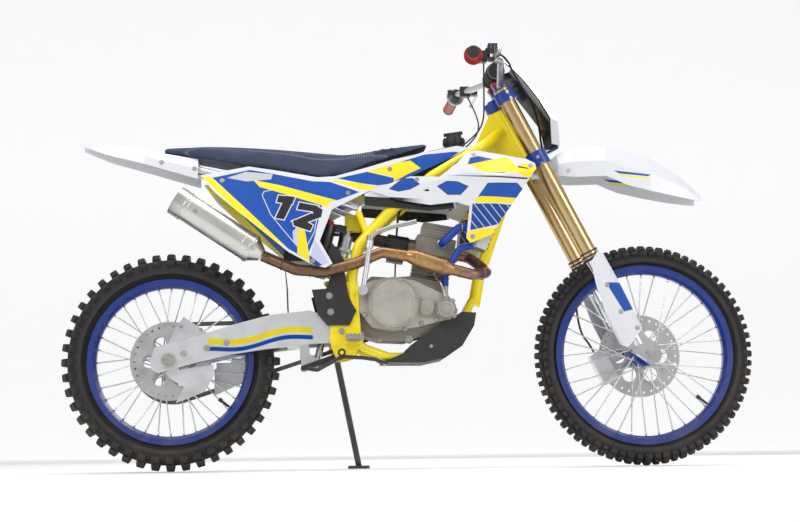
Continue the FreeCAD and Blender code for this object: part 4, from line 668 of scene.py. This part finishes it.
def modified(item, kind, **settings):
    # adds a modifier and applies it
    alone(item)
    change = item.modifiers.new("change", kind)
    for key, level in settings.items():
        setattr(change, key, level)
    bpy.ops.object.modifier_apply(modifier="change")
    return item


def eased(item, width, segments=2):
    return modified(item, "BEVEL", width=width, segments=segments, limit_method="ANGLE", angle_limit=math.radians(40))


def piece(item, name, finish, body, smooth=35, replaced=()):
    applied(item)
    item.name = name
    item.data.name = name
    wear(item, finish)
    alone(item)
    bpy.ops.object.shade_smooth_by_angle(angle=math.radians(smooth))
    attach(item, body)
    if replaced:
        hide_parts(*replaced)
    return item


def faced(item, axis):
    # turns an upright piece to face along an axis
    item.rotation_euler = Vector(axis).to_track_quat("Z", "Y").to_euler()
    return applied(item)


def stub(radius, depth, at, axis=(0, 1, 0), sides=24, tip=None):
    # a round bar or a cone centred at a point along an axis
    if tip is None:
        bpy.ops.mesh.primitive_cylinder_add(vertices=sides, radius=radius, depth=depth, location=at)
    else:
        bpy.ops.mesh.primitive_cone_add(vertices=sides, radius1=radius, radius2=tip, depth=depth, location=at)
    return faced(bpy.context.object, axis)


def slab(size, at, turn=(0, 0, 0), edge=0.001, segments=2):
    # a block with eased edges
    bpy.ops.mesh.primitive_cube_add(size=1, location=at, rotation=turn)
    item = bpy.context.object
    item.scale = size
    return eased(applied(item), edge, segments)


def hoop(major, minor, at, axis=(0, 1, 0), steps=48, sides=10):
    bpy.ops.mesh.primitive_torus_add(major_radius=major, minor_radius=minor, major_segments=steps, minor_segments=sides,
                                     location=at)
    return faced(bpy.context.object, axis)


def stood(at, axis):
    # a matrix that carries an upright piece to a place, facing along an axis
    return Matrix.Translation(at) @ Vector(axis).to_track_quat("Z", "Y").to_matrix().to_4x4()


def onSide(name, x, z, side=-1, reach=0.6):
    # where a line across the machine first meets a frame piece, in millimetres in side view
    start = Vector((x / 1000, side * reach, z / 1000))
    hit, at, normal, face = nodes[name].ray_cast(start, Vector((0, -side, 0)))
    return (at, normal) if hit else (None, None)


def boltHead(radius, height, sides=6):
    collar = stub(radius * 1.35, height * 0.35, (0, 0, height * 0.17), (0, 0, 1), 16)
    head = eased(stub(radius, height, (0, 0, height * 0.55), (0, 0, 1), sides), radius * 0.14, 1)
    picked(head, lambda c, n: n.z > 0.9 and c.z > height)
    bpy.ops.mesh.inset(thickness=radius * 0.42)
    bpy.ops.mesh.extrude_region_move(TRANSFORM_OT_translate={"value": (0, 0, -height * 0.4)})
    bpy.ops.object.mode_set(mode="OBJECT")
    return joined([collar, head])


# Tyres: a bulging carcass and rows of knobs

tyreSizes = {
    "front": {"axle": (0.735, 0, 0.345), "bead": 0.2615, "tread": 0.3447, "half": 0.0400, "knob": 0.0145, "count": 36,
              "pinch": 0.286, "body": "front_wheel",
              "rows": [(0.25, 0.0, 0.0175, 0.016), (0.25, 0.5, 0.0150, 0.011), (0.62, 0.0, 0.018, 0.015),
                       (0.62, 0.5, 0.016, 0.013), (0.88, 0.0, 0.020, 0.012), (0.88, 0.5, 0.016, 0.010)]},
    "rear": {"axle": (-0.735, 0, 0.336), "bead": 0.2365, "tread": 0.3357, "half": 0.0510, "knob": 0.0195, "count": 44,
             "pinch": 0.262, "body": "rear_wheel",
             "rows": [(0.26, 0.0, 0.0215, 0.0200), (0.62, 0.0, 0.0220, 0.0185), (0.88, 0.0, 0.0230, 0.0135)]},
}


def knobPlaces(size, major, minor, row, phase):
    places = []
    for i in range(size["count"]):
        angle = 2 * math.pi * (i + phase) / size["count"]
        for side in (1, -1):
            y = row * size["half"] * side
            outward = minor * math.sqrt(1 - row * row)
            lean = math.atan2(y / size["half"] ** 2, outward / minor ** 2)
            places.append(Matrix.Translation(size["axle"]) @ Matrix.Rotation(angle, 4, "Y")
                          @ Matrix.Translation((0, y, major + outward)) @ Matrix.Rotation(-lean, 4, "X"))
    return places


def makeTyre(side):
    size = tyreSizes[side]
    outer = size["tread"] - size["knob"]
    minor = (outer - size["bead"]) / 2
    major = size["bead"] + minor
    bpy.ops.mesh.primitive_torus_add(major_radius=major, minor_radius=minor, major_segments=144, minor_segments=40,
                                     location=size["axle"], rotation=(math.pi / 2, 0, 0))
    carcass = bpy.context.object
    carcass.scale = (1, 1, size["half"] / minor)
    applied(carcass)
    axle = Vector(size["axle"])
    picked(carcass, lambda c, n: math.hypot(c.x - axle.x, c.z - axle.z) < size["pinch"])
    bpy.ops.transform.resize(value=(1, 0.5, 1))
    bpy.ops.mesh.select_all(action="SELECT")
    bpy.ops.mesh.normals_make_consistent(inside=False)
    bpy.ops.object.mode_set(mode="OBJECT")
    beadLines = [hoop(size["pinch"] + grow, 0.0016, (axle.x, y * size["half"] * wide, axle.z), steps=120, sides=8)
                 for grow, wide in ((0.012, 0.93), (0.020, 0.99)) for y in (1, -1)]
    knobs = []
    for row, phase, long, wide in size["rows"]:
        master = slab((long, wide, size["knob"]), (0, 0, size["knob"] * 0.42), edge=0.0014, segments=1)
        picked(master, lambda c, n: n.z < -0.5)
        bpy.ops.transform.resize(value=(1.15, 1.15, 1))
        bpy.ops.object.mode_set(mode="OBJECT")
        knobs.append(repeated(master, knobPlaces(size, major, minor, row, phase)))
    piece(joined([carcass] + beadLines + knobs), side + "TyreKnobbed", "tyreRubber", size["body"], 40, [side + "_tyre"])
    nipple = eased(stub(0.0032, 0.013, (0, 0, 0), (0, 0, 1), 8), 0.0006, 1)
    rimRadius = 0.2523 if side == "front" else 0.2269
    places = []
    for k in range(36):
        turn = math.radians(10 * k)
        y = 0.005 if k % 2 == 0 else -0.005
        at = axle + Vector((math.cos(turn) * (rimRadius - 0.005), y, math.sin(turn) * (rimRadius - 0.005)))
        places.append(stood(at, (-math.cos(turn), y * 18, -math.sin(turn))))
    piece(repeated(nipple, places), side + "Nipples", "chrome", size["body"])
    turn = math.radians(-38)
    out = Vector((math.cos(turn), 0, math.sin(turn)))
    stem = [stub(radius, depth, axle + out * (rimRadius - inset), out, 12)
            for radius, depth, inset in ((0.004, 0.034, 0.018), (0.0062, 0.012, 0.036))]
    piece(joined(stem), side + "Valve", "blackRubber", size["body"])


makeTyre("front")
makeTyre("rear")
print("tyres, nipples and valves modelled")


# Chain: rows of side plates, rollers and pins round both sprockets

drive = {"rear": (-0.735, 0.336), "front": (-0.138, 0.436), "pitch": 0.015875, "teeth": (48, 13), "y": 0.068}


def chainLoop():
    big, small = Vector(drive["rear"]), Vector(drive["front"])
    bigRadius, smallRadius = (t * drive["pitch"] / (2 * math.pi) for t in drive["teeth"])
    line = small - big
    lean = math.atan2(line.y, line.x)
    spread = math.acos((bigRadius - smallRadius) / line.length)
    run = math.sqrt(line.length ** 2 - (bigRadius - smallRadius) ** 2)
    frontArc = 2 * spread * smallRadius
    rearArc = 2 * (math.pi - spread) * bigRadius
    total = 2 * run + frontArc + rearArc
    count = round(total / drive["pitch"] / 2) * 2

    def onBig(turn):
        return big + bigRadius * Vector((math.cos(turn), math.sin(turn)))

    def onSmall(turn):
        return small + smallRadius * Vector((math.cos(turn), math.sin(turn)))

    spots = []
    for i in range(count):
        s = i * total / count
        if s < run:
            spots.append(onBig(lean + spread).lerp(onSmall(lean + spread), s / run))
        elif s < run + frontArc:
            spots.append(onSmall(lean + spread - (s - run) / smallRadius))
        elif s < 2 * run + frontArc:
            spots.append(onSmall(lean - spread).lerp(onBig(lean - spread), (s - run - frontArc) / run))
        else:
            spots.append(onBig(lean - spread - (s - 2 * run - frontArc) / bigRadius))
    return spots


def sidePlate(offset):
    # a plate with two round ends: a disc pulled out along the chain
    plate = stub(0.0066, 0.0016, (0, 0, 0), (0, 1, 0), 14)
    picked(plate, lambda c, n: n.x > 0.15 and abs(n.y) < 0.5)
    bpy.ops.transform.translate(value=(drive["pitch"], 0, 0))
    bpy.ops.object.mode_set(mode="OBJECT")
    plate.location = (0, offset, 0)
    return applied(plate)


def makeChain():
    spots = chainLoop()
    places = []
    for here, after in zip(spots, spots[1:] + spots[:1]):
        turn = math.atan2(after.y - here.y, after.x - here.x)
        places.append(Matrix.Translation((here.x, drive["y"], here.y)) @ Matrix.Rotation(-turn, 4, "Y"))
    inner = repeated(joined([sidePlate(0.0040), sidePlate(-0.0040)]), places[::2])
    outer = repeated(joined([sidePlate(0.0058), sidePlate(-0.0058)]), places[1::2])
    roller = stub(0.0048, 0.0064, (0, 0, 0), (0, 1, 0), 12)
    pins = repeated(joined([roller, stub(0.0026, 0.0148, (0, 0, 0), (0, 1, 0), 8)]), places)
    piece(joined([inner, outer, pins]), "driveChain", "darkSteel", "rear_arm", 30, ["chain"])


makeChain()
print("chain modelled")


# Seat: a padded pad with the seat base below it

# the bulge is capped; towards the nose the cap shrinks, from all of it at "full" to a twentieth at "thin"
seatPad = {"voxel": 0.005, "pressure": 3.2, "cap": 0.010, "shrink": 0.0015, "full": -0.30, "thin": -0.14,
           "settle": 16, "finish": 8, "frames": 20}


def makeSeat():
    source = nodes["seat"]
    pad = bpy.data.objects.new("seatPad", source.data.copy())
    bpy.context.collection.objects.link(pad)
    welded(pad, 0.0001)
    modified(pad, "DISPLACE", strength=-seatPad["shrink"], mid_level=0)
    modified(pad, "REMESH", mode="VOXEL", voxel_size=seatPad["voxel"])
    modified(pad, "SMOOTH", iterations=seatPad["settle"])
    before = [v.co.copy() for v in pad.data.vertices]
    held = pad.vertex_groups.new(name="held")
    held.add([v.index for v in pad.data.vertices if v.normal.z < -0.4], 1.0, "REPLACE")
    cloth = pad.modifiers.new("cloth", "CLOTH")
    cloth.settings.use_pressure = True
    cloth.settings.uniform_pressure_force = seatPad["pressure"]
    cloth.settings.effector_weights.gravity = 0
    cloth.settings.vertex_group_mass = "held"
    cloth.settings.tension_stiffness = 25
    cloth.settings.bending_stiffness = 6
    for step in range(1, seatPad["frames"] + 1):
        bpy.context.scene.frame_set(step)
    bpy.ops.object.modifier_apply(modifier="cloth")
    for vertex, start in zip(pad.data.vertices, before):
        moved = vertex.co - start
        along = (seatPad["thin"] - start.x) / (seatPad["thin"] - seatPad["full"])
        limit = seatPad["cap"] * min(1, max(0.05, along))
        if moved.length > limit:
            vertex.co = start + moved.normalized() * limit
    modified(pad, "SMOOTH", iterations=seatPad["finish"])
    modified(pad, "SUBSURF", levels=1, render_levels=1)
    piece(pad, "seatPad", "seatVinyl", "chassis", 80, ["seat"])


makeSeat()
print("seat padded")


def lineCurve(name, places, radius):
    bpy.ops.curve.primitive_nurbs_path_add(location=(0, 0, 0))
    item = bpy.context.object
    item.name = name
    item.data.splines.clear()
    run = item.data.splines.new("NURBS")
    run.points.add(len(places) - 1)
    for spot, place in zip(run.points, places):
        spot.co = (place[0], place[1], place[2], 1)
    run.order_u = 3
    run.use_endpoint_u = True
    item.data.resolution_u = 10
    item.data.bevel_depth = radius
    item.data.bevel_resolution = 3
    return item


def tubeAlong(name, places, radius):
    # a bent pipe or line, made as a curve and turned into a mesh
    curve = lineCurve(name + "Curve", places, radius)
    curve.data.use_fill_caps = True
    bpy.context.view_layer.update()
    made = bpy.data.objects.new(name, bpy.data.meshes.new_from_object(curve))
    bpy.context.collection.objects.link(made)
    bpy.data.objects.remove(curve)
    return made


# Fasteners, laid on whatever surface they meet

fastenerSizes = {"cover": (0.0042, 0.0050), "panel": (0.0056, 0.0030), "frame": (0.0075, 0.0060)}

fastenerSpots = {
    "crankcase": ("cover", -1, [(-160, 560), (-172, 470), (-150, 415), (-96, 392), (96, 396), (132, 440), (138, 520),
                                (118, 566)]),
    "engine_covers": ("cover", -1, [(-143, 468), (-142, 534), (-104, 577), (-14, 583), (24, 566), (88, 536), (76, 452),
                                    (30, 441),
                                    (-20, 424), (-96, 425), (128, 462), (124, 506), (82, 500)]),
    "side_panels": ("panel", -1, [(-574, 884), (-190, 842), (-300, 628), (-60, 920)]),
    "shrouds": ("panel", -1, [(196, 958), (366, 916), (186, 700), (20, 880)]),
    "frame_guards": ("frame", -1, [(-250, 526), (-246, 477)]),
    "swingarm": ("frame", -1, [(-620, 372), (-560, 388), (-690, 356)]),
    "triple_clamps": ("cover", -1, [(396, 951), (410, 930), (304, 1156), (316, 1136)]),
    "fork_guards": ("panel", -1, [(600, 552), (690, 420), (640, 470)]),
    "rear_fender": ("panel", -1, [(-660, 925), (-760, 945)]),
    "skid_plate": ("cover", -1, [(60, 372), (-60, 348)]),
    "main_frame": ("frame", -1, [(-213, 418), (-240, 470), (-200, 540)]),
    "silencer": ("panel", -1, [(-478, 668), (-652, 782)]),
    "rear_caliper": ("cover", -1, [(-700, 440), (-640, 430)]),
    "front_caliper": ("cover", 1, [(590, 330), (625, 280)]),
    "front_fender": ("panel", -1, [(440, 930), (500, 920)]),
}

fastenerBodies = {"triple_clamps": "steering_head", "front_fender": "steering_head", "fork_guards": "fork_lowers",
                  "front_caliper": "fork_lowers", "swingarm": "rear_arm", "rear_caliper": "rear_arm"}


def makeFasteners():
    total = 0
    for name, (size, side, spots) in fastenerSpots.items():
        radius, height = fastenerSizes[size]
        places = []
        for x, z in spots:
            for way in ((side, -side) if size == "panel" and name != "silencer" else (side,)):
                at, normal = onSide(name, x, z, way)
                if at is not None:
                    places.append(stood(at - normal * 0.0004, normal))
        if places:
            body = fastenerBodies.get(name, "chassis")
            if name in ("crankcase", "engine_covers"):
                # cast bosses under the case bolts
                boss = eased(stub(0.0082, 0.012, (0, 0, -0.0035), (0, 0, 1), 20), 0.0012, 2)
                piece(repeated(boss, places), name.replace("_", "") + "Bosses", "castAlloy", body)
                places = [place @ Matrix.Translation((0, 0, 0.0024)) for place in places]
            head = boltHead(radius, height)
            piece(repeated(head, places), name.replace("_", "") + "Bolts", "bolt", body)
            total += len(places)
    return total


print("fasteners:", makeFasteners())


def ringOfBolts(centre, radius, y, axis, count, size, first=0):
    places = []
    for k in range(count):
        turn = 2 * math.pi * k / count + math.radians(first)
        places.append(stood((centre[0] + radius * math.cos(turn), y, centre[1] + radius * math.sin(turn)), axis))
    return repeated(boltHead(*size), places)


# Engine dress

engineDress = {
    "clutch": (-0.056, 0.501), "filter": (0.045, 0.488), "pump": (0.104, 0.482), "ignition": (0.045, 0.480),
    "crank": (0.045, 0.478), "lean": math.radians(10),
    "oilPipe": [(0.100, -0.128, 0.520), (0.096, -0.126, 0.560), (0.070, -0.098, 0.590), (0.064, -0.078, 0.640)],
}


def turnedCap(radius, depth, at, axis, rings):
    # a round cover face with turned grooves
    cap = eased(stub(radius, depth, at, axis, 64), depth * 0.35, 2)
    alongAxis = Vector(axis)
    for step, drop in rings:
        picked(cap, lambda c, n: n.dot(alongAxis) > 0.95 and (c - Vector(at)).cross(alongAxis).length < 0.002)
        bpy.ops.mesh.inset(thickness=step)
        bpy.ops.mesh.extrude_region_move(TRANSFORM_OT_translate={"value": tuple(alongAxis * drop)})
        bpy.ops.object.mode_set(mode="OBJECT")
    return cap


def cylinderSlab(size, rise, edge):
    # a thin slab round the leaning cylinder, at a height above the crank
    (x, z), lean = engineDress["crank"], engineDress["lean"]
    return slab(size, (x + rise * math.sin(lean), 0, z + rise * math.cos(lean)), (0, lean, 0), edge, 1)


def makeEngineDress():
    x, z = engineDress["clutch"]
    made = [turnedCap(0.066, 0.004, (x, -0.1490, z), (0, -1, 0), [(0.004, -0.0012)]),
            ringOfBolts((x, z), 0.0715, -0.1475, (0, -1, 0), 6, (0.0042, 0.005), 15)]
    x, z = engineDress["filter"]
    made.append(turnedCap(0.021, 0.004, (x, -0.1330, z), (0, -1, 0), [(0.004, -0.0015)]))
    x, z = engineDress["pump"]
    made.append(turnedCap(0.026, 0.005, (x, -0.1410, z), (0, -1, 0), [(0.005, -0.0020), (0.008, 0.0025)]))
    piece(joined(made), "engineCaps", "lightCast", "chassis")
    x, z = engineDress["ignition"]
    cap = turnedCap(0.052, 0.003, (x, 0.0935, z), (0, 1, 0), [(0.006, -0.0018), (0.020, 0.0015)])
    heads = ringOfBolts((x, z), 0.058, 0.0918, (0, 1, 0), 5, (0.0042, 0.005))
    piece(joined([cap, heads]), "ignitionCap", "castAlloy", "chassis")
    fins = [cylinderSlab((0.117, 0.136, 0.0034), 0.106 + k * 0.0108, 0.001) for k in range(7)]
    piece(joined(fins), "cylinderFins", "castAlloy", "chassis")
    ribs = [cylinderSlab((0.086, 0.1215, 0.0028), 0.236 + k * 0.010, 0.001) for k in range(5)]
    piece(joined(ribs), "camCoverRibs", "lightCast", "chassis")
    seams = [cylinderSlab((0.108, 0.1262, 0.0016), 0.1795, 0.0004), cylinderSlab((0.100, 0.1255, 0.0016), 0.2345, 0.0004)]
    piece(joined(seams), "headGaskets", "darkSteel", "chassis")
    piece(tubeAlong("oilPipe", engineDress["oilPipe"], 0.004), "oilPipe", "chrome", "chassis")
    (pumpX, pumpZ), (clutchX, clutchZ) = engineDress["pump"], engineDress["clutch"]
    rings = [hoop(0.0285, 0.0022, (pumpX, -0.1395, pumpZ), (0, 1, 0), 48, 8),
             hoop(0.0745, 0.0030, (clutchX, -0.1462, clutchZ), (0, 1, 0), 72, 8)]
    piece(joined(rings), "coverRings", "castAlloy", "chassis")
    plug = boltHead(0.0095, 0.010)
    at, normal = onSide("crankcase", -6, 394)
    if at is not None:
        plug.matrix_world = stood(at, normal)
        piece(plug, "drainPlug", "bolt", "chassis")
    else:
        bpy.data.objects.remove(plug)


makeEngineDress()
print("engine dressed")


# Exhaust dress: weld rings on the header, rivet bands on the can

exhaust = {"pipe": 0.017, "can": 0.044, "start": (-0.4543, -0.124, 0.6515), "end": (-0.690, -0.124, 0.806),
           "route": [(0.240, -0.092, 0.598), (0.190, -0.138, 0.586), (0.110, -0.142, 0.606), (0, -0.144, 0.642),
                     (-0.090, -0.144, 0.656),
                     (-0.170, -0.144, 0.622), (-0.263, -0.143, 0.597), (-0.350, -0.140, 0.604), (-0.430, -0.124, 0.640)]}


def makeExhaustDress():
    rings = []
    for low, high in zip(exhaust["route"], exhaust["route"][1:]):
        a, b = Vector(low), Vector(high)
        rings.append(hoop(exhaust["pipe"] + 0.0006, 0.0016, a.lerp(b, 0.5), b - a, 32, 8))
    piece(joined(rings), "headerWelds", "header", "chassis")
    near, far = Vector((0.100, -0.143, 0.610)), Vector((0.014, -0.144, 0.638))
    line = (far - near).normalized()
    cones = [eased(stub(0.0252, 0.030, far + line * 0.0150, line, 40, 0.0178), 0.001, 2),
             eased(stub(0.0252, 0.030, near - line * 0.0150, -line, 40, 0.0178), 0.001, 2)]
    cones += [hoop(0.0254, 0.0013, at, line, 40, 8) for at in (near, far)]
    piece(joined(cones), "headerChamberCones", "header", "chassis")
    start, end = Vector(exhaust["start"]), Vector(exhaust["end"])
    line = (end - start).normalized()
    bands, rivets = [], []
    for t in (0.040, 0.066, 0.262, 0.274):
        wide = 0.008 if t < 0.05 or t > 0.27 else 0.003
        bands.append(eased(stub(exhaust["can"] + 0.0012, wide, start + line * t, line, 48), 0.0008, 2))
    rivet = eased(stub(0.003, 0.003, (0, 0, 0), (0, 0, 1), 12), 0.0009, 2)
    side = line.orthogonal().normalized()
    for t in (0.040, 0.274):
        for k in range(10):
            out = Matrix.Rotation(math.radians(36 * k), 3, line) @ side
            rivets.append(stood(start + line * t + out * (exhaust["can"] + 0.0020), out))
    piece(joined(bands), "canBands", "can", "chassis")
    piece(repeated(rivet, rivets), "canRivets", "bolt", "chassis")


makeExhaustDress()
print("exhaust dressed")


# Wheel hardware: axle nuts, disc and sprocket bolts

axles = {"front": (0.735, 0.345), "rear": (-0.735, 0.336)}


def makeWheelHardware():
    for name, end, radius, y, size in (("frontDiscBolts", "front", 0.036, 0.0625, 0.0045),
                                       ("rearDiscBolts", "rear", 0.036, -0.0625, 0.0045),
                                       ("sprocketBolts", "rear", 0.056, 0.0715, 0.0050)):
        heads = ringOfBolts(axles[end], radius, y, (0, math.copysign(1, y), 0), 6, (size, 0.004))
        piece(heads, name, "bolt", end + "_wheel")
    for name, node, body, side, radius in (("frontAxleNut", "fork_legs", "fork_lowers", -1, 0.0125),
                                           ("frontAxleCap", "fork_legs", "fork_lowers", 1, 0.0125),
                                           ("rearAxleNut", "swingarm", "rear_arm", -1, 0.0155),
                                           ("rearAxleCap", "swingarm", "rear_arm", 1, 0.0155)):
        centre = axles["front" if "front" in name else "rear"]
        at, normal = onSide(node, centre[0] * 1000, centre[1] * 1000, side)
        if at is None:
            at = Vector((centre[0], side * 0.13, centre[1]))
        nut = boltHead(radius, 0.010)
        nut.matrix_world = stood(at, (0, side, 0))
        piece(nut, name, "bolt", body)


makeWheelHardware()
print("wheel hardware on")


# Fork dress: top caps with adjusters, wiper rings

fork = {"spread": 0.105, "top": 0.936, "wipers": (0.338, 0.350, 0.362)}


def onFork(x, y, s):
    # a point in the fork's own frame: ahead of the leg, across, and up along it
    return Vector((0.7154 + 0.891 * x - 0.454 * s, y, 0.335 + 0.454 * x + 0.891 * s))


def makeForkDress():
    axis = onFork(0, 0, 1) - onFork(0, 0, 0)
    caps, knobs, wipers = [], [], []
    for y in (fork["spread"], -fork["spread"]):
        caps.append(turnedCap(0.0225, 0.006, onFork(0, y, fork["top"] + 0.003), axis, [(0.005, -0.002)]))
        knobs.append(eased(stub(0.0085, 0.008, onFork(0, y, fork["top"] + 0.007), axis, 6), 0.001, 2))
        for s in fork["wipers"]:
            wipers.append(hoop(0.0275, 0.0028, onFork(0, y, s), axis, 40, 10))
        wipers.append(hoop(0.0232, 0.0022, onFork(0, y, 0.3415), axis, 40, 10))
    piece(joined(caps), "forkCaps", "blueAnodised", "steering_head")
    piece(joined(knobs), "forkAdjusters", "goldAnodised", "steering_head")
    piece(joined(wipers), "forkWipers", "blackRubber", "steering_head")


makeForkDress()


# Bar dress: grip ends, ribs, pad wrap and strap, riser caps

bar = {"x": 0.2925, "height": 1.236, "grip": (0.187, 0.268, 1.236), "reach": (-0.10417, 0.98221, -0.15626)}


def gripRun(side):
    # where a grip starts, and the way it points
    mirror = Vector((1, side, 1))
    return Vector(bar["grip"]) * mirror, Vector(bar["reach"]) * mirror


def makeBarDress():
    for side, body, name in ((-1, "throttle", "right"), (1, "steering_head", "left")):
        start, along = gripRun(side)
        ribs = [hoop(0.0168, 0.0013, start + along * (0.026 + 0.0082 * k), along, 28, 6) for k in range(13)]
        if side > 0:
            ribs.append(eased(stub(0.0170, 0.112, start + along * 0.075, along, 40), 0.001, 2))
        piece(joined(ribs), name + "GripRibs", "redRubber", body)
        cap = eased(stub(0.0185, 0.006, start + along * 0.1335, along, 32), 0.002, 3)
        piece(cap, name + "GripEnd", "blackRubber", body)
    roll = eased(stub(0.0275, 0.150, (bar["x"] - 0.012, 0, bar["height"] + 0.003), (0, 1, 0), 40), 0.005, 4)
    picked(roll, lambda c, n: abs(n.y) > 0.9)
    bpy.ops.mesh.inset(thickness=0.006, depth=-0.002)
    bpy.ops.object.mode_set(mode="OBJECT")
    piece(roll, "barPadWrap", "padFabric", "steering_head", 50)
    straps = [hoop(0.0282, 0.0018, (bar["x"] - 0.012, y, bar["height"] + 0.003), (0, 1, 0), 40, 8)
              for y in (-0.045, -0.037, 0.037, 0.045)]
    piece(joined(straps), "barPadStraps", "blackRubber", "steering_head")
    axis = onFork(0, 0, 1) - onFork(0, 0, 0)
    lean = math.atan2(axis.x, axis.z)
    caps = [slab((0.038, 0.030, 0.014), onFork(0.010, y, 0.969), (0, lean, 0), 0.003, 3) for y in (-0.042, 0.042)]
    piece(joined(caps), "riserCaps", "redAnodised", "steering_head")
    lid = slab((0.030, 0.030, 0.005), (0.251, -0.224, 1.2815), (0, 0, 0), 0.002, 2)
    piece(lid, "reservoirLid", "blueAnodised", "steering_head")


makeBarDress()
print("fork and bar dressed")


# Radiator shutters, hose clips, fuel cap flutes, peg teeth, fender grips

def makeReservoir():
    # the damper's side chamber with its clicker
    line = Vector((-0.235, 0, -0.972)).normalized()
    at = Vector((-0.258, -0.050, 0.706))
    can = eased(stub(0.0215, 0.108, at, line, 40), 0.003, 3)
    neck = slab((0.058, 0.034, 0.024), (-0.222, -0.032, 0.744), (0, 0.2, 0), 0.004, 2)
    piece(joined([can, neck]), "damperChamber", "blackPaint", "damper_body")
    clicker = [eased(stub(0.012, 0.010, at - line * 0.059, line, 24), 0.002, 2),
               hoop(0.0215, 0.0018, at - line * 0.050, line, 40, 8)]
    piece(joined(clicker), "damperClicker", "redAnodised", "damper_body")


makeReservoir()


def makeTrim():
    bolts = []
    for y, z in ((-0.055, 1.205), (0.055, 1.205), (0, 1.060)):
        hit, at, normal, face = nodes["number_plate"].ray_cast(Vector((1.0, y, z)), Vector((-1, 0, 0)))
        if hit:
            bolts.append(stood(at - normal * 0.0004, normal))
    if bolts:
        piece(repeated(boltHead(0.0056, 0.003), bolts), "plateBolts", "bolt", "steering_head")
    slats = []
    lean = math.radians(24)
    for y in (-0.112, 0.112):
        for k in range(13):
            up = -0.096 + 0.016 * k
            at = (0.254 + up * math.sin(lean) + 0.0180 * math.cos(lean), y,
                  0.762 + up * math.cos(lean) - 0.0195 * math.sin(lean))
            slats.append(slab((0.007, 0.058, 0.0022), at, (0, lean - 0.6, 0), 0.0006, 1))
    piece(joined(slats), "radiatorShutters", "blackPlastic", "chassis")
    clips = [hoop(0.0125, 0.0018, at, axis, 28, 8) for at, axis in (
        ((0.160, -0.112, 0.736), (1, 0, 0)), ((0.208, -0.112, 0.736), (1, 0, 0)), ((0.100, -0.074, 0.690), (0, 1, 0)))]
    piece(joined(clips), "hoseClips", "bolt", "chassis")
    flute = slab((0.004, 0.007, 0.020), (0, 0, 0), edge=0.0015, segments=2)
    places = [Matrix.Translation((0.150, 0, 1.0225)) @ Matrix.Rotation(math.radians(20 * k), 4, "Z")
              @ Matrix.Translation((0.0335, 0, 0)) for k in range(18)]
    piece(repeated(flute, places), "fuelCapFlutes", "blackPlastic", "filler_cap")
    for side, body in ((-1, "peg_right"), (1, "peg_left")):
        tooth = stub(0.0035, 0.0055, (0, 0, 0), (0, 0, 1), 4, 0.0012)
        spots = [Matrix.Translation((-0.176 + x, side * (0.150 + 0.0098 * k), 0.4035))
                 for x in (-0.0225, 0.0225) for k in range(7)]
        spots += [Matrix.Translation((-0.176 + x, side * 0.216, 0.4035)) for x in (-0.0125, 0, 0.0125)]
        piece(repeated(tooth, spots), body.replace("_", "") + "Teeth", "steel", body)
    grips = []
    for side in (1, -1):
        at, normal = onSide("rear_fender", -640, 930, side)
        if at is not None:
            lip = slab((0.105, 0.003, 0.009), (0, 0, 0), edge=0.0013, segments=3)
            lip.matrix_world = Matrix.Translation(at) @ Matrix.Rotation(math.radians(15), 4, "Y")
            grips.append(applied(lip))
    if grips:
        piece(joined(grips), "fenderGrips", "blackRubber", "chassis")


makeTrim()
print("trim modelled")


# Lines: the brake hose and the two control cables, each one continuous run

lineRuns = {
    "brakeHose": {"radius": 0.0035, "node": "brake_hose", "bodies": ("steering_head", "fork_lowers"),
                  "bend": ((0.424, 0, 1.080), (0.60, 0.12, 0.66)),
                  "points": [(0.2704, -0.2016, 1.2598), (0.299, -0.169, 1.260), (0.340, -0.096, 1.206),
                             (0.392, -0.060, 1.140),
                             (0.424, 0, 1.080), (0.436, 0.050, 1.010), (0.060, 0.120, 0.560, "fork"),
                             (0, 0.150, 0.380, "fork"),
                             (-0.080, 0.140, 0.200, "fork"), (-0.099, 0.112, 0.140, "fork"), (-0.099, 0.070, 0.110, "fork"),
                             (-0.099, 0.070, 0.0745, "fork")]},
    "cableLeft": {"radius": 0.0025, "node": "control_cables", "bodies": ("steering_head", "chassis"),
                  "bend": ((0.236, 0.110, 1.140), (0.120, 0.084, 0.960)),
                  "points": [(0.222, 0.232, 1.220), (0.236, 0.110, 1.140), (0.240, 0.052, 1.070), (0.200, 0.060, 1.022),
                             (0.120, 0.084, 0.960),
                             (0.040, 0.082, 0.900), (-0.020, 0.080, 0.838), (-0.034, 0.074, 0.700),
                             (-0.040, 0.040, 0.5885)]},
    "cableRight": {"radius": 0.0025, "node": "control_cables", "bodies": ("steering_head", "chassis"),
                   "bend": ((0.236, -0.110, 1.140), (0.120, -0.084, 0.960)),
                   "points": [(0.222, -0.232, 1.220), (0.236, -0.110, 1.140), (0.240, -0.052, 1.070),
                              (0.200, -0.060, 1.022),
                              (0.120, -0.084, 0.960), (0.040, -0.082, 0.900), (-0.020, -0.080, 0.838),
                              (-0.036, -0.036, 0.776),
                              (-0.0365, -0.010, 0.7256)]},
}


def makeLine(name):
    line = lineRuns[name]
    places = [tuple(onFork(*p[:3])) if len(p) == 4 else p for p in line["points"]]
    thin = lineCurve(name + "Thin", places, 0)
    bpy.context.view_layer.update()
    route = bpy.data.meshes.new_from_object(thin)
    bpy.data.objects.remove(thin)
    tube = tubeAlong(name, places, line["radius"])
    welded(tube, 0.00002)
    wear(tube, "lineRubber")
    bpy.ops.object.shade_smooth_by_angle(angle=math.radians(50))
    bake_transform(tube)
    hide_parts(line["node"])


for name in lineRuns:
    makeLine(name)

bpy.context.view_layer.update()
